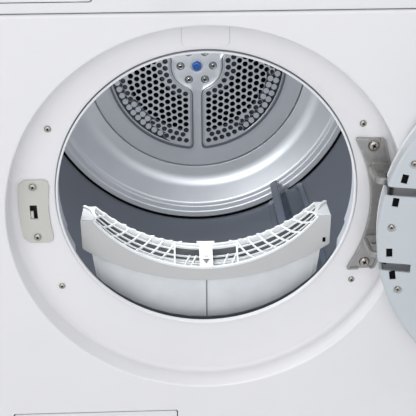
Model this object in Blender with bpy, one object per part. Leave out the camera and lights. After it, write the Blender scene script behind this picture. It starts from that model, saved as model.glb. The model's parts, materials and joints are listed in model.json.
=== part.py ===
"""Front-loading heat-pump tumble dryer with its door swung open and its lint filter pulled up.

Frame: metres, +Z up. The origin is the centre of the base tray's underside. The front faces -Y.
Depths called "depth" are measured into the machine from the plane of the loading opening.
"""
import math

import bmesh
import bpy
from mathutils import Matrix, Vector

# ---------------------------------------------------------------- driving dimensions
GAP = 0.0003                 # space kept between neighbours that touch
SHEET = 0.0010               # painted sheet steel

HALF_WIDTH = 0.298
FRONT_Y = -0.318
REAR_Y = 0.3175
TOP_Z = 0.835
WORKTOP_THICK = 0.025
TRAY_HEIGHT = 0.055
FOOT_HEIGHT = 0.015
FRONT_WRAP = 0.018           # depth of the front panel's folded edges
BASE_PAD_WIDTH = 0.120
BASE_PAD_HEIGHT = 0.0015
TRAY_WALL = 0.0035

OPENING_Z = 0.490            # height of the drum axis and the loading opening
OPENING_RADIUS = 0.185
DISH_DEPTH = 0.034           # the recess that the door closes into
RECESS_RADIUS = 0.2410
RECESS_DROP = 0.0205         # how far the recess sits below the drum axis
DISH_DROP = 0.015            # the same for the door, hinge and latch
OPENING_Y = FRONT_Y + DISH_DEPTH
DISH_Z = OPENING_Z - DISH_DROP
PANEL_TOP_Z = 0.7255
PANEL_BOTTOM_Z = 0.012

DRUM_RADIUS = 0.287
DRUM_FRONT_DEPTH = 0.0810
DRUM_JOINT_DEPTH = 0.508
DRUM_BACK_DEPTH = 0.553
DRUM_GROOVE_RADIUS = 0.198
DRUM_LIP_RADIUS = 0.2750
LIFTER_COUNT = 3
LIFTER_FIRST_ANGLE = -55.5   # degrees from +X, seen from the front
LIFTER_HEIGHT = 0.054

COLLAR_RADIUS = 0.180
COLLAR_TUBE_DEPTH = 0.030
COLLAR_REAR_DEPTH = 0.0790
COLLAR_REAR_RADIUS = 0.2650
SLOT_FRONT_DEPTH = 0.0255    # the lint filter's slot in the collar
SLOT_REAR_DEPTH = 0.0765
SLOT_HALF_WIDTH = 0.166

FILTER_FRONT_DEPTH = 0.030
FILTER_REAR_DEPTH = 0.072
FILTER_HALF_WIDTH = 0.161
FILTER_END_Z = -0.045        # top of its square ends, from the drum axis
FILTER_END_WIDTH = 0.017
FILTER_FRONT_SAG = 0.0710    # how far the hollowed top dips at its front and rear edges
FILTER_REAR_SAG = 0.0570
FILTER_WALL = 0.0025
FILTER_BAND_END_Z = -0.086
FILTER_BAND_SAG = 0.0510
FILTER_GRILLE_SLOTS = 8
FILTER_DEEP_Z = -0.222

DOOR_RADIUS = 0.231
DOOR_INNER_Y = -0.0085       # closed door's inner face, from the opening plane
DOOR_OUTER_Y = -0.0495
DOOR_DOME_Y = -0.0590
DOOR_WALL = 0.0025
DOOR_WINDOW_RADIUS = 0.150
DOOR_BOWL_DEPTH = 0.017
HINGE_X = 0.217
HINGE_Y = OPENING_Y - 0.0415
HINGE_PIN_RADIUS = 0.0025
ARM_OFFSET_Z = 0.046
ARM_HALF_HEIGHT = 0.0055
DOOR_OPEN_DEG = 168.0

TANK_LEFT_X = -0.2800
TANK_RIGHT_X = -0.1350
TANK_FLOOR_Z = 0.7600
TANK_REAR_Y = 0.1500

MOTOR_X = 0.190
MOTOR_Z = 0.125
PULLEY_RADIUS = 0.010
BELT_Y = -0.140
BELT_WIDTH = 0.009
BELT_THICK = 0.0018
BELT_CLEARANCE = 0.0006
IDLER_RADIUS = 0.018

KNOB_X = -0.030
CONTROL_Z = 0.7800
START_X = 0.266
OPTION_XS = (0.190, 0.216)

FLAP_LEFT_X = -0.262
FLAP_RIGHT_X = -0.042
FLAP_BOTTOM_Z = 0.036
FLAP_TOP_Z = 0.190

DISH_CENTRE = (0.0, OPENING_Y, DISH_Z)
DRUM_CENTRE = (0.0, OPENING_Y, OPENING_Z)
ROUND = 40                   # facets of the drum
DOOR_FACETS = 48
COLLAR_FACETS = 48
PANEL_POINTS = 48            # points round each outline of the front panel, a multiple of 4


# ---------------------------------------------------------------- scene and materials
def clear_scene():
    for item in list(bpy.data.objects):
        bpy.data.objects.remove(item, do_unlink=True)


def make_material(name, colour, roughness, metallic=0.0, alpha=1.0):
    material = bpy.data.materials.new(name)
    material.use_nodes = True
    shader = material.node_tree.nodes["Principled BSDF"]
    shader.inputs["Base Color"].default_value = (*colour, 1.0)
    shader.inputs["Roughness"].default_value = roughness
    shader.inputs["Metallic"].default_value = metallic
    shader.inputs["Alpha"].default_value = alpha
    return material


def make_materials():
    return {
        "white_paint": make_material("white_paint", (0.78, 0.76, 0.76), 0.35),
        "white_plastic": make_material("white_plastic", (0.76, 0.77, 0.78), 0.40),
        "laminate": make_material("laminate", (0.74, 0.74, 0.74), 0.45),
        "galvanised": make_material("galvanised", (0.45, 0.47, 0.49), 0.45, 0.9),
        "steel_screw": make_material("steel_screw", (0.60, 0.58, 0.55), 0.30, 1.0),
        "zinc_casting": make_material("zinc_casting", (0.23, 0.23, 0.225), 0.50, 0.8),
        "latch_plastic": make_material("latch_plastic", (0.58, 0.58, 0.54), 0.45),
        "door_plastic": make_material("door_plastic", (0.58, 0.63, 0.66), 0.38),
        "smoked_glass": make_material("smoked_glass", (0.04, 0.045, 0.05), 0.06, 0.0, 0.6),
        "clear_bowl": make_material("clear_bowl", (0.70, 0.74, 0.76), 0.08, 0.0, 0.4),
        "drum_steel": make_material("drum_steel", (0.34, 0.36, 0.40), 0.30, 1.0),
        "lifter_plastic": make_material("lifter_plastic", (0.27, 0.32, 0.36), 0.35),
        "blue_cap": make_material("blue_cap", (0.045, 0.12, 0.55), 0.35),
        "filter_plastic": make_material("filter_plastic", (0.57, 0.58, 0.58), 0.42),
        "filter_mesh": make_material("filter_mesh", (0.60, 0.62, 0.64), 0.80),
        "black_plastic": make_material("black_plastic", (0.03, 0.03, 0.032), 0.45),
        "dark_glass": make_material("dark_glass", (0.012, 0.013, 0.015), 0.08),
        "rubber": make_material("rubber", (0.03, 0.03, 0.03), 0.80),
        "motor_paint": make_material("motor_paint", (0.10, 0.11, 0.12), 0.45, 0.4),
        "fin_aluminium": make_material("fin_aluminium", (0.60, 0.61, 0.62), 0.40, 1.0),
    }


def add_object(name, shape, material, smooth_deg=30.0):
    """Turns a bmesh into a named object whose faces point out."""
    bmesh.ops.recalc_face_normals(shape, faces=shape.faces)
    mesh = bpy.data.meshes.new(name)
    shape.to_mesh(mesh)
    shape.free()
    mesh.shade_smooth()
    mesh.set_sharp_from_angle(angle=math.radians(smooth_deg))
    item = bpy.data.objects.new(name, mesh)
    bpy.context.scene.collection.objects.link(item)
    if material is not None:
        mesh.materials.append(material)
    return item


# ---------------------------------------------------------------- shape helpers
def arc(centre, radius, start_deg, end_deg, steps):
    """Points on an arc, both ends included."""
    points = []
    for step in range(steps + 1):
        angle = math.radians(start_deg + (end_deg - start_deg) * step / steps)
        points.append((centre[0] + radius * math.cos(angle), centre[1] + radius * math.sin(angle)))
    return points


def box(name, low, high, material, bevel=0.0):
    shape = bmesh.new()
    bmesh.ops.create_cube(shape, size=1.0)
    size = Vector(high) - Vector(low)
    middle = (Vector(high) + Vector(low)) / 2.0
    bmesh.ops.scale(shape, vec=size, verts=shape.verts)
    bmesh.ops.translate(shape, vec=middle, verts=shape.verts)
    item = add_object(name, shape, material)
    if bevel:
        edge = item.modifiers.new("edge_round", 'BEVEL')
        edge.width = bevel
        edge.segments = 2
    return item


def open_box(name, low, high, wall, side, material):
    """A thin-walled box with one side open: side is a unit vector such as (0, 1, 0)."""
    shape = bmesh.new()
    bmesh.ops.create_cube(shape, size=1.0)
    size = Vector(high) - Vector(low)
    middle = (Vector(high) + Vector(low)) / 2.0
    bmesh.ops.scale(shape, vec=size, verts=shape.verts)
    bmesh.ops.translate(shape, vec=middle, verts=shape.verts)
    shape.normal_update()
    direction = Vector(side)
    mouth = max(shape.faces, key=lambda face: face.normal.dot(direction))
    bmesh.ops.inset_individual(shape, faces=[mouth], thickness=wall)
    depth = abs(size.dot(direction)) - wall
    pushed = bmesh.ops.extrude_discrete_faces(shape, faces=[mouth])["faces"]
    bmesh.ops.translate(shape, vec=-direction * depth, verts=pushed[0].verts)
    return add_object(name, shape, material)


def prism(name, outline, axis, low, high, material):
    """Extrudes an outline along an axis: XY outlines along Z, XZ ones along Y, YZ ones along X."""
    shape = bmesh.new()
    places = {
        "X": lambda u, v, w: (w, u, v),
        "Y": lambda u, v, w: (u, w, v),
        "Z": lambda u, v, w: (u, v, w),
    }
    place = places[axis]
    verts = [shape.verts.new(place(u, v, low)) for u, v in outline]
    face = shape.faces.new(verts)
    grown = bmesh.ops.extrude_face_region(shape, geom=[face])["geom"]
    moved = [part for part in grown if isinstance(part, bmesh.types.BMVert)]
    bmesh.ops.translate(shape, vec=Vector(place(0.0, 0.0, high - low)), verts=moved)
    return add_object(name, shape, material)


def loop_ring(name, outer, inner, axis, low, high, material):
    """A prism with a hole: two outlines with the same number of points, joined all round."""
    shape = bmesh.new()
    places = {
        "Y": lambda u, v, w: (u, w, v),
        "Z": lambda u, v, w: (u, v, w),
    }
    place = places[axis]
    rows = []
    for outline, level in ((outer, low), (outer, high), (inner, high), (inner, low)):
        rows.append([shape.verts.new(place(u, v, level)) for u, v in outline])
    join_rows(shape, rows + rows[:1])
    return add_object(name, shape, material)


def join_rows(shape, rows):
    """Makes quads between each closed row of vertices and the next."""
    for first, second in zip(rows, rows[1:]):
        count = len(first)
        for index in range(count):
            follow = (index + 1) % count
            shape.faces.new((first[index], first[follow], second[follow], second[index]))


def lathe(name, profile, centre, material, segments=ROUND, axis="Y"):
    """Turns a profile of (radius, along) points about an axis through centre.

    A profile that starts and ends on the axis makes a solid piece, any other one a closed ring.
    """
    shape = bmesh.new()
    on_axis = profile[0][0] == 0.0
    rows = []
    for radius, along in profile:
        row = []
        for index in range(1 if radius == 0.0 else segments):
            angle = 2.0 * math.pi * index / segments
            across = radius * math.cos(angle)
            up = radius * math.sin(angle)
            spot = (across, along, up) if axis == "Y" else (across, up, along)
            row.append(shape.verts.new(Vector(centre) + Vector(spot)))
        rows.append(row)
    if not on_axis:
        rows.append(rows[0])
    for first, second in zip(rows, rows[1:]):
        for index in range(segments):
            follow = (index + 1) % segments
            if len(first) == 1:
                shape.faces.new((first[0], second[index], second[follow]))
            elif len(second) == 1:
                shape.faces.new((first[index], first[follow], second[0]))
            else:
                shape.faces.new((first[index], first[follow], second[follow], second[index]))
    return add_object(name, shape, material)


def rod(name, radius, start, end, material, segments=24):
    """A plain round bar between two points."""
    start = Vector(start)
    end = Vector(end)
    shape = bmesh.new()
    length = (end - start).length
    bmesh.ops.create_cone(shape, cap_ends=True, segments=segments, radius1=radius, radius2=radius,
                          depth=length)
    turn = Vector((0.0, 0.0, 1.0)).rotation_difference(end - start).to_matrix().to_4x4()
    bmesh.ops.transform(shape, matrix=Matrix.Translation((start + end) / 2.0) @ turn, verts=shape.verts)
    return add_object(name, shape, material)


def combine(item, other, operation):
    """Adds a Boolean to item and hides the piece that it uses."""
    step = item.modifiers.new(other.name, 'BOOLEAN')
    step.operation = operation
    step.solver = 'EXACT'
    step.object = other
    other.hide_render = True
    other.display_type = 'WIRE'


def cut(item, *cutters):
    for cutter in cutters:
        combine(item, cutter, 'DIFFERENCE')


def weld(item, *others):
    for other in others:
        combine(item, other, 'UNION')


def pivot(name, location, items):
    """An empty on a joint's axis that carries the pieces of one moving body, and their cutters."""
    empty = bpy.data.objects.new(name, None)
    bpy.context.scene.collection.objects.link(empty)
    empty.location = location
    carried = list(items)
    for item in carried:
        carried += [step.object for step in item.modifiers if step.type == 'BOOLEAN']
    for item in carried:
        item.parent = empty
        item.matrix_parent_inverse = Matrix.Translation(-Vector(location))
    return empty


# ---------------------------------------------------------------- cabinet
def rectangle_row(half_width, low_z, high_z, y, count):
    """Points round an upright rectangle, corners included, that start at its upper right corner."""
    corners = [(half_width, high_z), (-half_width, high_z), (-half_width, low_z), (half_width, low_z)]
    side = count // 4
    points = []
    for index in range(4):
        start = corners[index]
        end = corners[(index + 1) % 4]
        for step in range(side):
            share = step / side
            x = start[0] + (end[0] - start[0]) * share
            z = start[1] + (end[1] - start[1]) * share
            points.append((x, y, z))
    return points


def circle_row(radius, centre_z, y, count):
    """Points round a circle that start at 45 degrees, to pair with rectangle_row."""
    points = []
    for index in range(count):
        angle = math.radians(45.0 + 360.0 * index / count)
        points.append((radius * math.cos(angle), y, centre_z + radius * math.sin(angle)))
    return points


def thicken(item, thickness):
    """Gives an open sheet its thickness on the side away from its normals."""
    step = item.modifiers.new("sheet", 'SOLIDIFY')
    step.thickness = thickness
    step.offset = -1.0
    step.use_even_offset = True


def add_sheet(name, rows, material, facing):
    """An open pressed sheet whose flat outer face points along facing, with thickness behind it."""
    shape = bmesh.new()
    verts = [[shape.verts.new(point) for point in row] for row in rows]
    join_rows(shape, verts)
    shape.normal_update()
    largest = max(shape.faces, key=lambda face: abs(face.normal.y) * face.calc_area())
    if largest.normal.y * facing < 0.0:
        bmesh.ops.reverse_faces(shape, faces=shape.faces)
    mesh = bpy.data.meshes.new(name)
    shape.to_mesh(mesh)
    shape.free()
    mesh.shade_smooth()
    mesh.set_sharp_from_angle(angle=math.radians(30.0))
    item = bpy.data.objects.new(name, mesh)
    bpy.context.scene.collection.objects.link(item)
    mesh.materials.append(material)
    thicken(item, SHEET)
    return item


def make_base(looks):
    """An open tray with a raised pad in the middle of its underside, on four screwed feet."""
    tray = open_box(
        "base_tray",
        (-HALF_WIDTH + 0.0015, FRONT_Y + FRONT_WRAP + 0.002, BASE_PAD_HEIGHT),
        (HALF_WIDTH - 0.0015, REAR_Y - 0.0025, TRAY_HEIGHT),
        TRAY_WALL, (0, 0, 1), looks["black_plastic"])
    half = BASE_PAD_WIDTH / 2.0
    pad = box("base_pad_part", (-half, -half, 0.0), (half, half, BASE_PAD_HEIGHT + 0.0010), None)
    weld(tray, pad)
    top = BASE_PAD_HEIGHT - GAP
    foot = [(0.0, -FOOT_HEIGHT), (0.017, -FOOT_HEIGHT), (0.020, -FOOT_HEIGHT + 0.003), (0.020, -0.007),
            (0.007, -0.005), (0.007, top), (0.0, top)]
    for index, (x, y) in enumerate(((-0.250, -0.262), (0.250, -0.262), (-0.250, 0.270), (0.250, 0.270))):
        lathe(f"foot_{index + 1}", foot, (x, y, 0.0), looks["rubber"], segments=16, axis="Z")


def make_side_panels(looks):
    front = FRONT_Y + FRONT_WRAP + GAP
    rear = REAR_Y - SHEET - GAP
    lip = 0.012
    for name, side in (("side_panel_left", -1.0), ("side_panel_right", 1.0)):
        outline = [
            (HALF_WIDTH, front), (HALF_WIDTH, rear), (HALF_WIDTH - lip, rear), (HALF_WIDTH - lip,
                    rear - SHEET),
            (HALF_WIDTH - SHEET, rear - SHEET), (HALF_WIDTH - SHEET, front + SHEET),
            (HALF_WIDTH - lip, front + SHEET), (HALF_WIDTH - lip, front)]
        outline = [(side * x, y) for x, y in outline]
        prism(name, outline, "Z", 0.004, TOP_Z - WORKTOP_THICK - GAP, looks["white_paint"])


def make_rear_panel(looks):
    count = 40
    low_z = PANEL_BOTTOM_Z
    high_z = TOP_Z - WORKTOP_THICK - GAP
    cover_radius = 0.225
    cover_rise = 0.011
    rows = [
        rectangle_row(HALF_WIDTH - 0.001, low_z, high_z, REAR_Y, count),
        circle_row(cover_radius, OPENING_Z, REAR_Y, count),
        circle_row(cover_radius - 0.006, OPENING_Z, REAR_Y + cover_rise, count),
        circle_row(0.060, OPENING_Z, REAR_Y + cover_rise, count),
        circle_row(0.055, OPENING_Z, REAR_Y + cover_rise - 0.004, count),
        circle_row(0.004, OPENING_Z, REAR_Y + cover_rise - 0.004, count),
    ]
    panel = add_sheet("rear_panel", rows, looks["galvanised"], 1.0)
    for index in range(5):
        z = 0.060 + 0.020 * index
        slot = box(f"rear_vent_cut_{index}", (-0.240, REAR_Y - 0.01, z),
                   (-0.090, REAR_Y + 0.01, z + 0.008), None)
        cut(panel, slot)


def make_front_panel(looks):
    count = PANEL_POINTS
    half = HALF_WIDTH
    edge = 0.003
    low = PANEL_BOTTOM_Z
    high = PANEL_TOP_Z
    rows = [
        rectangle_row(half, low, high, FRONT_Y + FRONT_WRAP, count),
        rectangle_row(half, low, high, FRONT_Y + edge, count),
        rectangle_row(half - edge, low + edge, high - edge, FRONT_Y, count),
    ]
    rim = [(0.0060, 0.0000), (0.0020, 0.0010), (0.0003, 0.0040), (0.0000, 0.0270), (-0.0070, DISH_DEPTH)]
    recess_z = OPENING_Z - RECESS_DROP
    rows += [circle_row(RECESS_RADIUS + grow, recess_z, FRONT_Y + back, count) for grow, back in rim]
    hem = [(0.0014, 0.0), (0.0, 0.0014), (0.0, 0.0090)]
    rows += [circle_row(OPENING_RADIUS + grow, OPENING_Z, OPENING_Y + back, count) for grow, back in hem]
    panel = add_sheet("front_panel", rows, looks["white_paint"], -1.0)
    flap_hole = box("flap_hole_cut", (FLAP_LEFT_X, FRONT_Y - 0.01, FLAP_BOTTOM_Z),
                    (FLAP_RIGHT_X, FRONT_Y + 0.01, FLAP_TOP_Z), None)
    lock_hole = box("lock_hole_cut", (-0.220, OPENING_Y - 0.01, DISH_Z - 0.014),
                    (-0.205, OPENING_Y + 0.01, DISH_Z + 0.014), None)
    cut(panel, flap_hole, lock_hole)


def make_worktop(looks):
    box("worktop", (-HALF_WIDTH, FRONT_Y + FRONT_WRAP + GAP, TOP_Z - WORKTOP_THICK),
        (HALF_WIDTH, REAR_Y + 0.001, TOP_Z),
        looks["laminate"], bevel=0.003)


def make_service_flap(looks):
    clear = 0.0012
    skin_y = FRONT_Y - 0.0012
    flap = box("service_flap", (FLAP_LEFT_X + clear, skin_y, FLAP_BOTTOM_Z + clear),
               (FLAP_RIGHT_X - clear, FRONT_Y + 0.0026,
                FLAP_TOP_Z - clear), looks["white_plastic"], bevel=0.0010)
    middle = (FLAP_LEFT_X + FLAP_RIGHT_X) / 2.0
    grip = box("flap_grip_cut", (middle - 0.028, skin_y - 0.002, FLAP_TOP_Z - clear - 0.016),
               (middle + 0.028, skin_y + 0.0022, FLAP_TOP_Z - clear - 0.004), None)
    cut(flap, grip)
    pivot("flap_hinge", (middle, skin_y, FLAP_BOTTOM_Z + clear), [flap])


# ---------------------------------------------------------------- controls and water tank
def make_controls(looks):
    low_z = PANEL_TOP_Z + 0.001
    fascia = open_box("control_panel", (-HALF_WIDTH, FRONT_Y, low_z),
                      (HALF_WIDTH, FRONT_Y + FRONT_WRAP, TOP_Z),
                      0.003, (0, 1, 0), looks["white_plastic"])
    drawer = box("drawer_hole_cut", (-0.2858, FRONT_Y - 0.01, 0.7380), (-0.1210, FRONT_Y + 0.01, 0.8270),
                 None)
    shaft_hole = rod("knob_hole_cut", 0.0065, (KNOB_X, FRONT_Y - 0.01, CONTROL_Z),
                     (KNOB_X, FRONT_Y + 0.01, CONTROL_Z), None)
    screen_hole = box("screen_hole_cut", (0.0400, FRONT_Y - 0.01, 0.7575),
                      (0.1650, FRONT_Y + 0.0016, 0.8025), None)
    cut(fascia, drawer, shaft_hole, screen_hole)
    box("display_window", (0.0404, FRONT_Y - 0.0004, 0.7579), (0.1646, FRONT_Y + 0.0013, 0.8021),
        looks["dark_glass"])

    knob_profile = [(0.0, -0.0235), (0.0215, -0.0235), (0.0240, -0.0215), (0.0255, -0.0040), (0.0265, -GAP),
                    (0.0060, -GAP), (0.0060, 0.0110), (0.0, 0.0110)]
    knob = lathe("programme_knob", knob_profile, (KNOB_X, FRONT_Y, CONTROL_Z), looks["white_plastic"],
                 segments=28)
    pivot("knob_turn", (KNOB_X, FRONT_Y, CONTROL_Z), [knob])

    button_profile = [(0.0, -0.0030), (0.0085, -0.0030), (0.0100, -0.0018), (0.0100, 0.0120), (0.0, 0.0120)]
    start_hole = rod("start_hole_cut", 0.0106, (START_X, FRONT_Y - 0.01, CONTROL_Z),
                     (START_X, FRONT_Y + 0.01, CONTROL_Z), None, 32)
    cut(fascia, start_hole)
    start = lathe("start_button", button_profile, (START_X, FRONT_Y, CONTROL_Z), looks["white_plastic"],
                  segments=24)
    pivot("start_press", (START_X, FRONT_Y, CONTROL_Z), [start])
    for index, x in enumerate(OPTION_XS):
        hole = box(f"option_hole_cut_{index + 1}", (x - 0.0086, FRONT_Y - 0.01, CONTROL_Z - 0.0051),
                   (x + 0.0086, FRONT_Y + 0.01, CONTROL_Z + 0.0051), None)
        cut(fascia, hole)
        key = box(f"option_button_{index + 1}", (x - 0.0080, FRONT_Y - 0.0022, CONTROL_Z - 0.0045),
                  (x + 0.0080, FRONT_Y + 0.0120, CONTROL_Z + 0.0045), looks["white_plastic"], bevel=0.0010)
        pivot(f"option_press_{index + 1}", (x, FRONT_Y, CONTROL_Z), [key])


def make_water_tank(looks):
    wall = 0.0018
    front_y = FRONT_Y + FRONT_WRAP + 0.002
    housing_low = (TANK_LEFT_X - 0.0040, front_y, TANK_FLOOR_Z - 0.0040)
    housing_high = (TANK_RIGHT_X + 0.0040, TANK_REAR_Y + 0.008, TOP_Z - WORKTOP_THICK - 0.0015)
    open_box("tank_housing", housing_low, housing_high, wall, (0, -1, 0), looks["white_plastic"])
    tank = open_box("water_tank", (TANK_LEFT_X, FRONT_Y + FRONT_WRAP - GAP, TANK_FLOOR_Z),
                    (TANK_RIGHT_X, TANK_REAR_Y, 0.8030),
                    0.0020, (0, 0, 1), looks["clear_bowl"])
    left = -0.2850
    right = -0.1218
    handle = box("tank_front", (left, FRONT_Y - 0.0005, 0.7388),
                 (right, FRONT_Y + FRONT_WRAP - 2.0 * GAP, 0.8262),
                 looks["white_plastic"], bevel=0.0025)
    middle = (left + right) / 2.0
    grip = box("tank_grip_cut", (middle - 0.045, FRONT_Y - 0.004, 0.7480),
               (middle + 0.045, FRONT_Y + 0.013, 0.7700), None)
    cut(handle, grip)
    pivot("tank_slide", (middle, FRONT_Y, TANK_FLOOR_Z), [tank, handle])


# ---------------------------------------------------------------- opening, collar and lint filter
def make_collar(looks):
    """The moulded front ring: lip at the panel, short tube, and a funnel that opens to the drum."""
    lip = COLLAR_RADIUS
    out = OPENING_RADIUS - 0.0012
    tube = COLLAR_TUBE_DEPTH
    wall = 0.0028
    rear = COLLAR_REAR_RADIUS
    profile = [
        (lip, -0.0010), (lip + 0.0012, -0.0022), (out - 0.0008, -0.0022), (out, -0.0010), (out, 0.0105),
        (out + 0.0230, 0.0105), (out + 0.0230, 0.0130), (out + 0.0060, 0.0130), (out + 0.0060, tube - wall),
        (rear + wall, COLLAR_REAR_DEPTH - wall), (rear + wall, COLLAR_REAR_DEPTH + 0.0090),
        (rear, COLLAR_REAR_DEPTH + 0.0090), (rear, COLLAR_REAR_DEPTH), (lip + 0.0035, tube),
        (lip + 0.0008, 0.0060)]
    collar = lathe("door_collar", profile, DRUM_CENTRE, looks["white_plastic"], segments=COLLAR_FACETS)
    slot = box("filter_slot_cut", (-SLOT_HALF_WIDTH - 0.0025, OPENING_Y + SLOT_FRONT_DEPTH,
                                   OPENING_Z - 0.3),
               (SLOT_HALF_WIDTH + 0.0025, OPENING_Y + SLOT_REAR_DEPTH, OPENING_Z + FILTER_END_Z), None)
    cut(collar, slot)

    half = SLOT_HALF_WIDTH
    front = SLOT_FRONT_DEPTH + GAP
    back = SLOT_REAR_DEPTH - GAP
    deep = -0.292
    shell = open_box("filter_housing", (-half, OPENING_Y + front, OPENING_Z + deep),
                     (half, OPENING_Y + back, OPENING_Z - 0.060), 0.0016, (0, 0, 1), looks["white_plastic"])
    clear = out + 0.0080
    flare = (rear - clear) / (COLLAR_REAR_DEPTH - tube)
    funnel = [(0.0, -0.050), (clear, -0.050), (clear, tube), (clear + flare * 0.100, tube + 0.100),
              (0.0, tube + 0.100)]
    cut(shell, lathe("housing_round_cut", funnel, DRUM_CENTRE, None, segments=COLLAR_FACETS))


def sag_arc(reach, top_z, sag, steps=24):
    """An arc hung between two points at (-reach, top_z) and (reach, top_z)."""
    radius = (reach ** 2 + sag ** 2) / (2.0 * sag)
    swing = math.degrees(math.asin(reach / radius))
    return arc((0.0, top_z - sag + radius), radius, -90.0 - swing, -90.0 + swing, steps)


def filter_outline(sag, inset):
    """Front view of the lint filter: hollowed top, square ends, tapered body, drawn in by inset."""
    end = FILTER_HALF_WIDTH - inset
    top_z = OPENING_Z + FILTER_END_Z - inset
    band_z = OPENING_Z + FILTER_BAND_END_Z
    deep_z = OPENING_Z + FILTER_DEEP_Z + inset
    body = end - 0.010
    below = [(end, band_z), (body, band_z - 0.006), (body - 0.012, deep_z + 0.030), (body - 0.030, deep_z)]
    below += [(-x, z) for x, z in reversed(below)]
    top = sag_arc(FILTER_HALF_WIDTH - FILTER_END_WIDTH, top_z, sag)
    return [(-end, top_z)] + top + [(end, top_z)] + below


def filter_body(name, front, rear, inset, material):
    """The filter's outer or inner form: a dip that gets shallower towards the drum, a tapered rear."""
    shape = bmesh.new()
    rows = []
    for depth, sag in ((front, FILTER_FRONT_SAG), (rear, FILTER_REAR_SAG)):
        rows.append([shape.verts.new((x, OPENING_Y + depth, z)) for x, z in filter_outline(sag, inset)])
    join_rows(shape, rows)
    bmesh.ops.triangulate(shape, faces=shape.faces)
    shape.faces.new(rows[0])
    shape.faces.new(list(reversed(rows[1])))
    body = add_object(name, shape, material)
    high = OPENING_Z + FILTER_BAND_END_Z - 0.045
    low = OPENING_Z + FILTER_DEEP_Z - 0.010
    back = OPENING_Y + rear
    wedge = [(back + 0.01, high), (back, high), (back - 0.022, low), (back + 0.01, low)]
    cut(body, prism(name + "_wedge_cut", wedge, "X", -0.2, 0.2, None))
    return body


def make_filter(looks):
    """A hollow plastic filter with a grille in its top and a fine screen behind its front windows."""
    front = FILTER_FRONT_DEPTH
    rear = FILTER_REAR_DEPTH
    wall = FILTER_WALL
    frame = filter_body("filter_frame", front, rear, 0.0, looks["filter_plastic"])
    front_wall = front + wall + 0.0010
    cut(frame, filter_body("filter_cavity_cut", front_wall, rear - wall, wall, None))

    end = FILTER_HALF_WIDTH
    edge = sag_arc(end, OPENING_Z + FILTER_BAND_END_Z, FILTER_BAND_SAG)
    past = end + 0.02
    band_z = OPENING_Z + FILTER_BAND_END_Z
    deep_z = OPENING_Z + FILTER_DEEP_Z
    step = edge + [(past, band_z), (past, deep_z - 0.02), (-past, deep_z - 0.02), (-past, band_z)]
    cut(frame, prism("filter_step_cut", step, "Y", OPENING_Y + front - 0.01, OPENING_Y + front + 0.0015,
                     None))

    body = end - 0.010
    half = [(0.007, -0.140), (0.060, -0.133), (0.105, -0.119), (body - 0.012, -0.102),
            (body - 0.020, FILTER_DEEP_Z + 0.030), (body - 0.036, FILTER_DEEP_Z + 0.010), (0.007,
                    FILTER_DEEP_Z + 0.010)]
    for index, side in enumerate((-1.0, 1.0)):
        outline = [(side * x, OPENING_Z + z) for x, z in half]
        cut(frame, prism(f"filter_window_cut_{index + 1}", outline, "Y", OPENING_Y + front - 0.01,
                         OPENING_Y + rear + 0.01, None))
    pitch = 0.033
    for index in range(FILTER_GRILLE_SLOTS):
        middle = pitch * (index - (FILTER_GRILLE_SLOTS - 1) / 2.0)
        cut(frame, box(f"filter_grille_cut_{index + 1}", (middle - 0.0135, OPENING_Y + front + 0.006,
                                                          OPENING_Z - 0.130),
                       (middle + 0.0135, OPENING_Y + rear - 0.005, OPENING_Z), None))

    grow = 0.0020
    outline = [(x + grow, z + grow) for x, z in half[1:4]] + [(x + grow, z) for x, z in half[4:6]]
    outline = [(0.0, half[0][1] + grow)] + outline + [(0.0, half[-1][1] - grow)]
    outline = [(x, OPENING_Z + z) for x, z in outline]
    outline += [(-x, z) for x, z in reversed(outline[1:-1])]
    screen = prism("filter_screen", outline, "Y", OPENING_Y + front_wall + GAP,
                   OPENING_Y + front_wall + 0.0018,
                   looks["filter_mesh"])
    pivot("filter_slide", (0.0, OPENING_Y + front, OPENING_Z + FILTER_END_Z), [frame, screen])


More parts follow.
